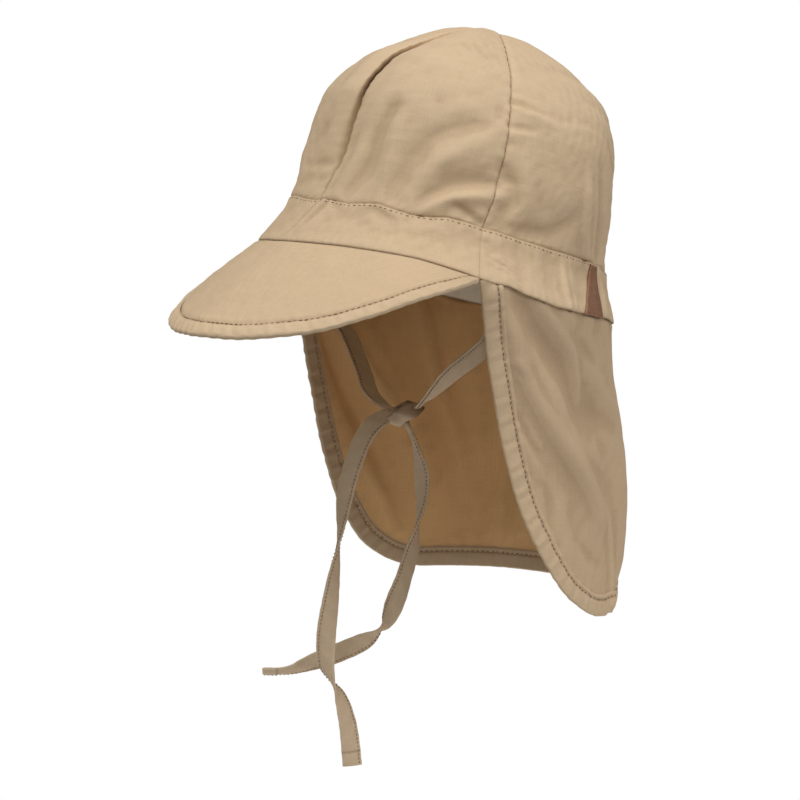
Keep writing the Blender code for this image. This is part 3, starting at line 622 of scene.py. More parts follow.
def sum_of(tree, a, b):
    return wire(tree, "ShaderNodeMath", {0: a, 1: b}, operation="ADD").outputs[0]


def times(tree, a, b):
    return wire(tree, "ShaderNodeMath", {0: a, 1: b}, operation="MULTIPLY").outputs[0]


def noise(tree, vector, scale, stretch=(1, 1, 1), detail=2.0):
    placed = wire(tree, "ShaderNodeMapping", {"Vector": vector, "Scale": stretch}).outputs[0]
    node = wire(tree, "ShaderNodeTexNoise", {"Vector": placed, "Scale": scale, "Detail": detail})
    return node.outputs[0]


def blended(tree, share, first, second, mode="MIX"):
    node = tree.nodes.new("ShaderNodeMix")
    node.data_type, node.blend_type = "RGBA", mode
    for key, value in ((0, share), (6, first), (7, second)):
        if isinstance(value, bpy.types.NodeSocket):
            tree.links.new(value, node.inputs[key])
        else:
            node.inputs[key].default_value = value if key == 0 else (*value, 1.0)
    return node.outputs[2]


def cloth(name, colour, dark, light, inside, thread=0.00040, depth=0.00006, slub=0.14):
    """Plain woven cotton: crossing threads with thick and thin places, soft patches, worn high places, painted shade in
    seams, creases and hollows, and the inside colour on inner faces, a painted glow for the flap and the band.
    """
    look, tree, shader = nodes_of(name, colour, 0.88)
    uv = wire(tree, "ShaderNodeUVMap", {}, uv_map="UVMap").outputs[0]
    place = wire(tree, "ShaderNodeTexCoord", {}).outputs["Object"]
    split = wire(tree, "ShaderNodeSeparateXYZ", {0: uv})
    waves_at = []
    for axis in (0, 1):
        turns = times(tree, split.outputs[axis], 2 * math.pi / (2 * thread))
        waves_at.append(wire(tree, "ShaderNodeMath", {0: turns}, operation="SINE").outputs[0])
    weave = times(tree, waves_at[0], waves_at[1])
    warp = noise(tree, uv, 1.0, (1 / (2.2 * thread), 1 / (40 * thread), 1), 3.0)
    weft = noise(tree, uv, 1.0, (1 / (34 * thread), 1 / (2.2 * thread), 1), 3.0)
    grain = noise(tree, place, 1 / 0.0011, detail=3.0)
    patch = noise(tree, place, 1 / 0.022, detail=4.0)
    streak = sum_of(tree, times(tree, warp, 1.0), weft)
    tone = sum_of(tree, times(tree, sum_of(tree, streak, -1.0), slub * 2.2), times(tree, weave, 0.05))
    tone = sum_of(tree, tone, times(tree, sum_of(tree, patch, -0.5), 0.26))
    tone = sum_of(tree, tone, times(tree, sum_of(tree, grain, -0.5), 0.36))
    wear = wire(tree, "ShaderNodeAttribute", {}, attribute_name="wear").outputs["Fac"]
    painted_shade = wire(tree, "ShaderNodeAttribute", {}, attribute_name="painted_shade").outputs["Fac"]
    share = wire(tree, "ShaderNodeMath", {0: sum_of(tree, tone, 0.5)}, operation="ADD", use_clamp=True)
    share.inputs[1].default_value = 0.0
    low = tuple(c * 0.80 for c in colour)
    high = tuple(min(1.0, c * 1.20) for c in colour)
    base = blended(tree, share.outputs[0], low, high)
    base = blended(tree, times(tree, wear, 0.45), base, light)
    # Inner faces take the inside colour; for the flap and the band it is a painted glow of light through the cloth.
    inner_face_mask = wire(tree, "ShaderNodeAttribute", {}, attribute_name="inside").outputs["Fac"]
    inner_low, inner_high = (tuple(min(1.0, c * k) for c in inside) for k in (0.80, 1.20))
    base = blended(tree, inner_face_mask, base, blended(tree, share.outputs[0], inner_low, inner_high))
    # Painted shade: the colour goes towards the dark one in seams, creases and hollows.
    base = blended(tree, painted_shade, base, dark)
    tree.links.new(base, shader.inputs["Base Color"])
    rough = wire(tree, "ShaderNodeMapRange", {"Value": grain, "To Min": 0.80, "To Max": 0.96}).outputs[0]
    tree.links.new(rough, shader.inputs["Roughness"])
    height = sum_of(tree, times(tree, weave, 0.5), times(tree, streak, 1.4))
    height = sum_of(tree, height, times(tree, grain, 1.2))
    rise = wire(tree, "ShaderNodeBump", {"Height": height, "Distance": depth, "Strength": 0.9})
    tree.links.new(rise.outputs[0], shader.inputs["Normal"])
    shader.inputs["Sheen Weight"].default_value = 0.18
    shader.inputs["Sheen Roughness"].default_value = 0.5
    shader.inputs["Sheen Tint"].default_value = (*light, 1.0)
    shader.inputs["Specular IOR Level"].default_value = 0.25
    return look


def thread_look(name, colour, dark):
    """Twisted sewing thread with painted shade where it dives into the cloth."""
    look, tree, shader = nodes_of(name, colour, 0.7)
    uv = wire(tree, "ShaderNodeUVMap", {}, uv_map="UVMap").outputs[0]
    split = wire(tree, "ShaderNodeSeparateXYZ", {0: uv})
    slant = sum_of(tree, split.outputs[0], split.outputs[1])
    turns = times(tree, slant, 2 * math.pi / 0.0005)
    twist = wire(tree, "ShaderNodeMath", {0: turns}, operation="SINE").outputs[0]
    painted_shade = wire(tree, "ShaderNodeAttribute", {}, attribute_name="painted_shade").outputs["Fac"]
    share = sum_of(tree, times(tree, twist, 0.3), 0.5)
    low = tuple(c * 0.75 for c in colour)
    high = tuple(min(1.0, c * 1.25) for c in colour)
    base = blended(tree, painted_shade, blended(tree, share, low, high), dark)
    tree.links.new(base, shader.inputs["Base Color"])
    rise = wire(tree, "ShaderNodeBump", {"Height": twist, "Distance": 0.00005, "Strength": 0.8})
    tree.links.new(rise.outputs[0], shader.inputs["Normal"])
    shader.inputs["Sheen Weight"].default_value = 0.3
    return look


def leather(name, colour, dark, light):
    """Pebbled leather with darker creases and a paler worn edge."""
    look, tree, shader = nodes_of(name, colour, 0.5)
    place = wire(tree, "ShaderNodeTexCoord", {}).outputs["Object"]
    pebble = wire(tree, "ShaderNodeTexVoronoi", {"Vector": place, "Scale": 1 / 0.0009},
                  feature="DISTANCE_TO_EDGE").outputs[0]
    patch = noise(tree, place, 1 / 0.004, detail=4.0)
    fine = noise(tree, place, 1 / 0.0004, detail=2.0)
    wear = wire(tree, "ShaderNodeAttribute", {}, attribute_name="wear").outputs["Fac"]
    cell = wire(tree, "ShaderNodeMapRange", {"Value": pebble, "From Max": 0.18}).outputs[0]
    base = blended(tree, cell, dark, colour)
    base = blended(tree, times(tree, patch, 0.55), base, light)
    base = blended(tree, wear, base, light)
    tree.links.new(base, shader.inputs["Base Color"])
    rough = wire(tree, "ShaderNodeMapRange", {"Value": patch, "To Min": 0.42, "To Max": 0.68}).outputs[0]
    tree.links.new(rough, shader.inputs["Roughness"])
    height = sum_of(tree, cell, times(tree, fine, 0.4))
    rise = wire(tree, "ShaderNodeBump", {"Height": height, "Distance": 0.00008, "Strength": 0.8})
    tree.links.new(rise.outputs[0], shader.inputs["Normal"])
    shader.inputs["Specular IOR Level"].default_value = 0.4
    return look


CLOTH = (0.60, 0.447, 0.288)
# The next colour is painted shade for seams, creases and hollows.
CLOTH_PAINTED_SHADE = (0.115, 0.055, 0.020)
CLOTH_LIGHT = (0.72, 0.59, 0.42)
# Painted warm glow on the flap's inner face, for light shining through and bouncing inside the cloth.
FLAP_INSIDE_PAINTED_GLOW = (0.66, 0.405, 0.185)
# The flap's cloth, painted darker as shade.
FLAP_CLOTH_PAINTED_SHADE = (0.56, 0.408, 0.258)
# Painted glow on the band's inner face, for light shining through the cloth.
BAND_INSIDE_PAINTED_GLOW = (0.82, 0.74, 0.60)
TIE_CLOTH = (0.53, 0.405, 0.275)
THREAD_COLOUR = (0.29, 0.175, 0.090)
# Painted shade where the thread dives into the cloth.
THREAD_PAINTED_SHADE = (0.080, 0.036, 0.015)

sand = cloth("sand_cotton", CLOTH, CLOTH_PAINTED_SHADE, CLOTH_LIGHT, CLOTH)
flap_painted_shade_and_glow_look = cloth("sand_flap_cotton_painted_shade_and_glow", FLAP_CLOTH_PAINTED_SHADE, CLOTH_PAINTED_SHADE, CLOTH_LIGHT, FLAP_INSIDE_PAINTED_GLOW)
band_inside_painted_glow_look = cloth("sand_band_cotton_painted_glow_inside", CLOTH, CLOTH_PAINTED_SHADE, CLOTH_LIGHT, BAND_INSIDE_PAINTED_GLOW)
tape_look = cloth("sand_tape", TIE_CLOTH, CLOTH_PAINTED_SHADE, CLOTH_LIGHT, TIE_CLOTH)
thread = thread_look("tan_thread", THREAD_COLOUR, THREAD_PAINTED_SHADE)
hide = leather("brown_leather", (0.215, 0.088, 0.040), (0.085, 0.030, 0.013), (0.36, 0.19, 0.11))
# The band's seams aren't quite level: angle, then how far the top and the lower one rise, in metres

SEAM_RISES = np.array((
    (-180, 0.0000, 0.0000),
    (-120, 0.0010, -0.0008),
    (-66, 0.0000, -0.0006),
    (-40, -0.0008, -0.0022),
    (-20, -0.0008, -0.0027),
    (-10, -0.0018, -0.0026),
    (-3, -0.0022, -0.0022),
    (3, -0.0008, -0.0018),
    (10, -0.0012, -0.0012),
    (16, -0.0015, -0.0006),
    (22, -0.0001, 0.0001),
    (28, 0.0011, 0.0006),
    (34, 0.0001, 0.0012),
    (41, -0.0005, 0.0018),
    (47, 0.0004, 0.0021),
    (53, 0.0022, 0.0017),
    (60, 0.0023, 0.0011),
    (66, 0.0019, 0.0002),
    (71, 0.0020, -0.0002),
    (76, 0.0016, 0.0003),
    (82, 0.0013, -0.0012),
    (94, 0.0012, -0.0024),
    (104, 0.0016, -0.0018),
    (112, 0.0018, -0.0008),
    (124, 0.0020, 0.0004),
    (140, 0.0014, 0.0008),
    (160, 0.0004, -0.0006),
    (180, 0.0000, 0.0000),
))


def seam_rise(angle, height):
    """How far a place on the crown is moved up, from its height over the band's lower edge."""
    at = turned(angle)
    top = np.interp(at, SEAM_RISES[:, 0], SEAM_RISES[:, 1])
    low = np.interp(at, SEAM_RISES[:, 0], SEAM_RISES[:, 2])
    share = np.clip(height / BAND_HEIGHT, 0, 1)
    above = np.exp(-np.clip(height - BAND_HEIGHT, 0, None) / 0.012)
    return (low * (1 - share) + top * share) * above


def gather_depth(angle):
    """The puckers of the elastic in the back band, uneven as real ones are, calm under the tab."""
    back = np.clip((np.abs(turned(angle)) - SIDE_SEAM) / GATHER_START_ANGLE, 0, 1)
    tab = 1 - bump(turned(angle - TAB_ANGLE), 8.0)
    at = np.radians(angle - TAB_ANGLE)
    uneven = 0.30 * np.sin(7 * at + 1.3) + 0.22 * np.sin(11 * at)
    pucker = np.cos(GATHER_COUNT * at + uneven) + 0.35 * np.cos(2.3 * GATHER_COUNT * at + 1.0)
    size = 0.75 + 0.35 * np.sin(5 * at + 0.6)
    return 0.62 * GATHER_DEPTH * back * tab * pucker * size


def crown_skin(angle, level):
    """The crown's outer face with its folds, in the hat's own frame, and the way out of it."""
    base, out = crown_base(angle, level), crown_out(angle, level)
    height = level * CROWN_HEIGHT
    rising = np.clip((height - CREASE_START) / CREASE_RISE, 0, 1)
    below_top = np.clip((CROWN_HEIGHT - height) / TOP_CALM, 0, 1)
    near_rim = np.minimum(1.0, height / BAND_HEIGHT)
    depth = FOLD_DEPTH * layered_folds(CROWN_FOLDS, angle, level) * below_top * near_rim
    off = turned(angle)
    for at, share, spread in CREASES:
        depth -= CREASE_DEPTH * share * rising * below_top * np.exp(-np.abs(turned(angle - at)) / spread)
    middle = 0.35 + 0.65 * eased((level - 0.18) / 0.22) * (1 - 0.5 * eased((level - 0.80) / 0.14))
    near_side = np.where(off >= 0, np.exp(-np.abs(off) / FRONT_NEAR_SPREAD), np.exp(-np.abs(off) / FRONT_FAR_SPREAD))
    depth -= CREASE_DEPTH * 1.05 * near_side * rising * below_top * middle
    ridge = bump(off - FRONT_RIDGE_ANGLE, FRONT_RIDGE_SPREAD) * eased((level - 0.30) / 0.2)
    depth += FRONT_RIDGE * ridge * (1 - eased((level - 0.74) / 0.18))
    depth += stroke_depth(CROWN_STROKES, base, out, crown_base) * below_top
    near_band = np.clip(1 - np.clip(height - BAND_HEIGHT, 0, None) / GATHER_FADE, 0, 1)
    depth += gather_depth(angle) * near_band
    ripple = 0.00020 * waves(base, 0.016, 3) + 0.00008 * waves(base, 0.006, 4)
    depth += ripple * np.clip((height - BAND_HEIGHT) / 0.010, 0, 1) * below_top
    lip = np.where(off < 0, bump(off + 3.2, 2.6) * (1 - np.exp(-np.abs(off) / 0.8)), 0)
    lip = lip * eased((level - 0.34) / 0.30) * (1 - 0.75 * eased((level - 0.80) / 0.13)) * below_top
    along = unit(points_of(np.cos(np.radians(angle)), np.sin(np.radians(angle)), 0 * angle))
    base = base + out * depth[..., None] + along * (FRONT_OVERHANG * lip)[..., None]
    base[..., 2] += seam_rise(angle, height)
    return base, out


def seam_shape(d, along, phase=0.0):
    """What a seam does to cloth beside it: it dips at the seam and puckers next to it."""
    dip = -SEAM_DIP * bump(d, SEAM_DIP_WIDTH)
    swell = 0.00016 * bump(d - 0.0024, 0.0016)
    beat = np.sin(2 * math.pi * along / PUCKER_LENGTH + phase + 1.1 * np.sin(along / 0.0041))
    return dip + swell + PUCKER_DEPTH * beat * bump(d, PUCKER_REACH)


def crown_panel(name, start, end):
    """One crown panel from one seam to the next."""
    width = math.radians(end - start) * RIM_HALF_LENGTH
    across = spaced(width, 0.00115)
    rise = spaced(0.135, 0.00110)
    bottom = BAND_LEVEL + SEAM_SLIT / CROWN_HEIGHT
    level = bottom + (1 - bottom) * np.sin(math.pi / 2 * rise)
    radius = np.linalg.norm(crown_base(np.full_like(level, start), level)[:, :2], axis=1)
    margin = np.degrees(SEAM_SLIT / 2 / radius)[:, None]
    first, last = start + margin, end - margin
    angle = first + (last - first) * across
    level = np.broadcast_to(level[:, None], angle.shape)
    p, out = crown_skin(angle, level)
    s_up = np.broadcast_to((rise * 0.135)[:, None], angle.shape)
    local = np.linalg.norm(p[..., :2], axis=-1)
    from_seam = np.radians(np.minimum(angle - start, end - angle)) * local
    from_band = s_up
    depth = seam_shape(from_seam, s_up, start) * np.clip((local - 0.004) / 0.006, 0, 1)
    depth += seam_shape(from_band, np.radians(angle) * local, 1.0)
    near_top = np.clip(1 - local / 0.010, 0, 1)
    p[..., :2] *= (1 - 0.85 * eased((level - 0.988) / 0.012))[..., None]
    p = p + out * depth[..., None]
    p[..., 2] -= 0.0008 * eased((level - 0.99) / 0.01)
    p = to_world(p)
    normal = grid_normal(p)
    inner = p - normal * CROWN_WALL
    hollow = hollows(p, normal, 4)
    # Painted shade along the seams, in the front crease and in hollows, less near the top.
    painted_shade = np.maximum(0.34 * bump(from_seam, 0.00032) * (local > 0.003), 0.30 * bump(from_band, 0.00035))
    painted_shade = np.maximum(painted_shade, 0.85 * bump(turned(angle), 1.7) * bump(level - 0.70, 0.13))
    painted_shade = np.maximum(painted_shade, 0.30 * bump(turned(angle), 1.5) * bump(level - 0.45, 0.20))
    painted_shade = np.maximum(painted_shade, np.clip(hollow / 0.0030, 0, 0.10)) * (1 - 0.5 * near_top)
    wear = np.clip(-hollow / 0.0020, 0, 0.25)
    middle = (start + end) / 2
    uv = np.stack([np.radians(angle - middle) * np.maximum(local, 0.02), s_up], -1)
    return dressed(shell(name + "_cloth", p, inner, uv, sand, painted_shade, wear), "cloth", name)


def band_skin(angle, level):
    """The band's outer face in the hat's own frame, and the way out of it."""
    base, out = crown_base(angle, level), crown_out(angle, level)
    height = level * CROWN_HEIGHT
    depth = BAND_STEP * (1 - 0.9 * height / BAND_HEIGHT) + gather_depth(angle)
    depth += stroke_depth(BAND_STROKES, base, out, crown_base)
    depth += 0.00016 * waves(base, 0.013, 7) + 0.00007 * waves(base, 0.005, 8)
    raised = bump(turned(angle - 103.5), 3.0) + 1.5 * bump(turned(angle - 124.0), 5.0)
    depth += 0.0006 * raised * np.sin(math.pi * np.clip(height / BAND_HEIGHT, 0, 1)) ** 0.5
    base = base + out * depth[..., None]
    base[..., 2] += seam_rise(angle, height)
    return base, out


def band_piece(name, start, end):
    """A stretch of the band, with a soft edge into the seams above and below it."""
    columns = spaced(math.radians(end - start) * 0.084, 0.00105)
    rows = spaced(BAND_HEIGHT, 0.0010, 0.0002)
    margin = math.degrees(SEAM_SLIT / 2 / RIM_HALF_WIDTH)
    angle = start + margin + (end - start - 2 * margin) * columns
    angle, share = np.meshgrid(angle, rows)
    p, out = band_skin(angle, share * BAND_LEVEL)
    along = np.radians(angle) * 0.084
    low, high = share * BAND_HEIGHT, (1 - share) * BAND_HEIGHT
    side = np.radians(np.minimum(angle - start, end - angle)) * 0.080
    depth = 1.1 * seam_shape(low, along, 0.4) + 0.8 * seam_shape(high, along, 1.9) + 0.3 * seam_shape(side, low, 0.0)
    depth = np.maximum(depth, -BAND_WALL * 0.7)
    inner = to_world(p - out * BAND_WALL)
    p = to_world(p + out * depth[..., None])
    normal = grid_normal(p)
    hollow = hollows(p, normal, 4)
    # Painted shade along the band's lower edge, its top seam, its side seam and in hollows.
    painted_shade = np.maximum(0.6 * bump(low, 0.0004), 0.25 * bump(high, 0.0004))
    painted_shade = np.maximum(painted_shade, 0.10 * bump(side, 0.0004))
    painted_shade = np.maximum(painted_shade, np.clip(hollow / 0.0030, 0, 0.10))
    wear = np.clip(-hollow / 0.0020, 0, 0.25)
    uv = np.stack([along, low], -1)
    return dressed(shell(name + "_cloth", p, inner, uv, band_inside_painted_glow_look, painted_shade, wear), "cloth", name)


def line_on_band(start, end, height, lift=0.0):
    """A line round the band at one height, with the ways out of its face."""
    count = int(math.radians(end - start) * 0.085 / 0.0006)
    angle = np.linspace(start, end, count)
    p, out = band_skin(angle, np.full_like(angle, height / CROWN_HEIGHT))
    return to_world(p + out * lift), to_world(out)


# The peak


def peak_frame(share):
    """For shares of the way round from the middle: the rim, the way out, the way the peak reaches."""
    angle = share * (SIDE_SEAM - PEAK_END_ANGLE)
    turn = np.radians(angle)
    rim = crown_base(angle, np.zeros_like(angle)) + crown_out(angle, np.zeros_like(angle)) * BAND_STEP
    rim[..., 2] += np.interp(turned(angle), SEAM_RISES[:, 0], SEAM_RISES[:, 2]) - SEAM_SLIT
    out = unit(points_of(np.sin(turn) / RIM_HALF_WIDTH, -np.cos(turn) / RIM_HALF_LENGTH, 0.0 * turn))
    reach = curve(PEAK_STATIONS, 1, np.abs(share)) * PEAK_REACH
    slope = np.radians(curve(PEAK_STATIONS, 2, np.abs(share)))[..., None]
    up = np.array([0.0, 0.0, 1.0])
    way = out * np.cos(slope) - up * np.sin(slope)
    lift = out * np.sin(slope) + up * np.cos(slope)
    return rim, out, way, lift, reach


def peak_places():
    shares = spaced(0.36, 0.00115, 0.0004)
    shares = 2 * shares - 1
    rim, out, way, lift, reach = peak_frame(shares)
    edge = rim + way * reach[:, None]
    along = lengths_along(edge)
    return shares, rim, out, way, lift, reach, along - along[len(along) // 2]


def peak_height(d, reach, along_edge):
    """How far the peak's top stands over its plain sheet, at a distance in from its edge."""
    arch = PEAK_ARCH * np.sin(math.pi * np.clip(1 - d / np.maximum(reach, 1e-6), 0, 1)) * reach / PEAK_REACH
    strip = 0.00045 * np.sin(math.pi * np.clip(d / PEAK_STITCH, 0, 1)) ** 0.7
    beat = np.sin(2 * math.pi * (along_edge + 0.75 * d) / 0.0068 + 1.2 * np.sin(along_edge / 0.011))
    beat += 0.5 * np.sin(2 * math.pi * (along_edge + 0.5 * d) / 0.0041 + 0.7)
    strip += 0.00017 * beat * np.sin(math.pi * np.clip(d / PEAK_STITCH, 0, 1))
    beyond = np.clip(d - PEAK_STITCH, 0, None)
    strip -= 0.00055 * bump(d - PEAK_STITCH, 0.0009)
    strip += 0.00022 * bump(beyond - 0.0022, 0.0014) * (d > PEAK_STITCH)
    strip += 0.00010 * beat * np.exp(-beyond / 0.004) * (d > PEAK_STITCH)
    return arch + strip * np.clip(reach / 0.012, 0, 1)


def peak_piece():
    """The peak: two layers of cloth over a stiffener, turned at a rounded edge."""
    shares, rim, out, way, lift, reach, along_edge = peak_places()
    n = len(shares)
    half = PEAK_WALL / 2
    inside = spaced(1.0, 0.018, 0.0045)
    turns = np.radians(np.linspace(90, -90, 9))[1:-1]
    loops, painted_shade, wear, uv = [], [], [], []
    ripple_edge = 0.00018 * np.sin(2 * math.pi * along_edge / 0.0074 + 1.4 * np.sin(along_edge / 0.016))
    reach_flat = np.maximum(reach - half, 0.002)

    def place(d, height, down):
        along = (reach - d)[:, None]
        return rim + way * along + lift * (height - down)[:, None]

    for share in inside:
        d = half + (1 - share) * reach_flat
        height = peak_height(d, reach, along_edge)
        p = place(d, height, 0 * d)
        root = bump(share * reach, 0.0010)
        p = p - lift * (0.0003 * root)[:, None]
        p += lift * (0.00012 * waves(p, 0.014, 11) + 0.00006 * waves(p, 0.005, 12))[:, None] * (1 - root[:, None])
        loops.append(p)
        # Painted shade where the peak meets the band and along its stitch line.
        painted_shade.append(np.maximum(0.5 * bump(share * reach, 0.0005), 0.30 * bump(d - PEAK_STITCH, 0.0006)))
        wear.append(0.25 * bump(d - PEAK_STITCH / 2, 0.0030))
        uv.append(np.stack([along_edge * (0.45 + 0.55 * share), -d], -1))
    for turn in turns:
        d = half * (1 - np.cos(turn)) + ripple_edge
        down = half * (1 - np.sin(turn)) * np.ones(n)
        loops.append(place(d, peak_height(np.full(n, half), reach, along_edge) * np.clip(np.sin(turn), 0, 1), down))
        painted_shade.append(np.zeros(n))
        wear.append(np.full(n, 0.55))
        uv.append(np.stack([along_edge, np.full(n, half * (0.3 - turn))], -1))
    for share in inside[::-1]:
        d = half + (1 - share) * reach_flat
        arch = PEAK_ARCH * np.sin(math.pi * np.clip(1 - d / np.maximum(reach, 1e-6), 0, 1)) * reach / PEAK_REACH
        wave = 0.00035 * np.sin(2 * math.pi * (along_edge - 0.5 * d) / 0.0085 + np.sin(along_edge / 0.013))
        dip = 0.0005 * bump(d - PEAK_STITCH, 0.0009) + wave * bump(d - 0.004, 0.006)
        loops.append(place(d, arch + dip, np.full(n, PEAK_WALL)))
        # Painted shade along the stitch line underneath.
        painted_shade.append(0.5 * bump(d - PEAK_STITCH, 0.0006))
        wear.append(np.zeros(n))
        uv.append(np.stack([along_edge * (0.45 + 0.55 * share), d + 0.01], -1))
    root_out = rim - out * (BAND_WALL * 0.9)
    loops.append(root_out - np.array([0, 0, 1.0]) * PEAK_WALL)
    loops.append(root_out)
    # Painted shade on the root rows tucked under the band.
    for row in range(2):
        painted_shade.append(np.full(n, 0.6))
        wear.append(np.zeros(n))
        uv.append(np.stack([along_edge * 0.45, np.full(n, 0.08 + 0.002 * row)], -1))
    loops = to_world(np.stack(loops, 1))
    piece = tube("peak_cloth", loops, np.stack(uv, 1), sand, np.stack(painted_shade, 1), np.stack(wear, 1))
    d = np.full(n, PEAK_STITCH)
    keep = reach > PEAK_STITCH + 0.0022
    lines = []
    line = place(d, peak_height(d, reach, along_edge) + 0.0002, 0 * d)[keep]
    lines.append((to_world(line), to_world(lift[keep])))
    under = place(d, 0.0004 + 0 * d, np.full(n, PEAK_WALL))[keep]
    lines.append((to_world(under), to_world(-lift[keep])))
    sewn = stitches("peak_stitches", lines, thread)
    return dressed(piece, "cloth", "peak"), dressed(sewn, "cloth")


# The neck flap


def edge_path():
    """Angle and level along the flap's free edge: down the left, round the hem, up the right."""
    t = np.linspace(0, 1, 160)
    level = np.sin(math.pi / 2 * t)
    left = np.stack([flap_edge_angle(level), level], 1)
    corner = left[-1, 0]
    hem = np.stack([np.linspace(corner, 360 - corner, 400)[1:-1], np.ones(398)], 1)
    right = np.stack([360 - left[::-1, 0], left[::-1, 1]], 1)
    return np.concatenate([left, hem, right])


def flap_skin(angle, level):
    """The middle of the flap's cloth with its folds."""
    base = flap_base(angle, level)
    turn = np.radians(angle)
    out = points_of(np.sin(turn), -np.cos(turn), np.zeros_like(turn))
    edge = flap_edge_angle(level)
    from_edge = np.minimum(angle - edge, 360 - edge - angle)
    calm = eased((from_edge - EDGE_FLAT_ANGLE) / EDGE_CALM_ANGLE) * eased((1 - level) / HEM_CALM_SHARE)
    depth = FLAP_FOLD * layered_folds(FLAP_FOLDS, angle, level) * np.minimum(1, level / TOP_CALM_SHARE) * calm
    depth += 1.35 * stroke_depth(FLAP_STROKES, base, out, flap_base) * np.clip(level / 0.03, 0, 1)
    depth += (0.00026 * waves(base, 0.030, 21) + 0.00006 * waves(base, 0.009, 22)) * np.clip(level / 0.04, 0, 1)
    top = np.exp(-level / 0.045) * np.clip(level / 0.012, 0, 1)
    depth += 0.0009 * top * np.cos(np.radians(GATHER_COUNT * (angle - TAB_ANGLE)) + 0.8 * np.sin(np.radians(7 * angle)))
    base = base + out * depth[..., None]
    rise = np.interp(turned(angle), SEAM_RISES[:, 0], SEAM_RISES[:, 2])
    base[..., 2] += rise * np.exp(-level / 0.10) + 0.00034 * np.exp(-level / 0.012)
    return base


def edge_marks(angle, level):
    """For places on the flap: how far the free edge is, and how far along it the nearest point is."""
    places = edge_path()
    line = flap_base(places[:, 0], places[:, 1])
    s = lengths_along(line)
    fine = np.arange(0, s[-1], 0.0006)
    line = np.stack([np.interp(fine, s, line[:, k]) for k in range(3)], 1)
    tree = KDTree(len(line))
    for i, p in enumerate(line):
        tree.insert(p, i)
    tree.balance()
    flat = flap_base(angle, level).reshape(-1, 3)
    found = [tree.find(p)[1:] for p in flat]
    at = np.array([fine[f[0]] for f in found]).reshape(angle.shape)
    away = np.array([f[1] for f in found]).reshape(angle.shape)
    return away, at


def flap_ripple(away, at):
    """Puckers that the binding's stitches pull into the cloth."""
    beat = np.sin(2 * math.pi * (at + 0.3 * away) / 0.0071 + 1.3 * np.sin(at / 0.017))
    beat += 0.6 * np.sin(2 * math.pi * at / 0.0044 + 1.0)
    return 0.00020 * beat * np.exp(-np.clip(away - BINDING_STITCH, 0, None) / 0.004)


def flap_piece():
    rows = spaced(0.16, 0.00125, 0.0005)
    level = np.sin(math.pi / 2 * rows)
    across = spaced(0.30, 0.00135, 0.0005)
    edge = flap_edge_angle(level)[:, None]
    angle = edge + (360 - 2 * edge) * across
    level = np.broadcast_to(level[:, None], angle.shape)
    p = flap_skin(angle, level)
    away, at = edge_marks(angle, level)
    normal = -grid_normal(p)
    p = p + normal * flap_ripple(away, at)[..., None]
    normal = -grid_normal(p)
    half = FLAP_WALL / 2
    under_band = np.clip(1 - level / 0.04, 0, 1)[..., None]
    hat_up = to_world(np.array([0.0, 0.0, 1.0]))
    normal = unit(normal - hat_up * (normal @ hat_up)[..., None] * under_band)
    outer, inner = p + normal * half, p - normal * half
    hollow = hollows(outer, normal, 4)
    # Painted shade in hollows and along the top, under the band.
    painted_shade = np.clip(hollow / 0.0030, 0, 0.10)
    painted_shade = np.maximum(painted_shade, 0.6 * bump(level, 0.008))
    wear = np.clip(-hollow / 0.0020, 0, 0.25)
    uv = np.stack([np.radians(angle - 180) * 0.088, -level * 0.17], -1)
    piece = shell("flap_cloth", outer, inner, uv, flap_painted_shade_and_glow_look, painted_shade, wear)
    return dressed(piece, "cloth", "neck_flap")


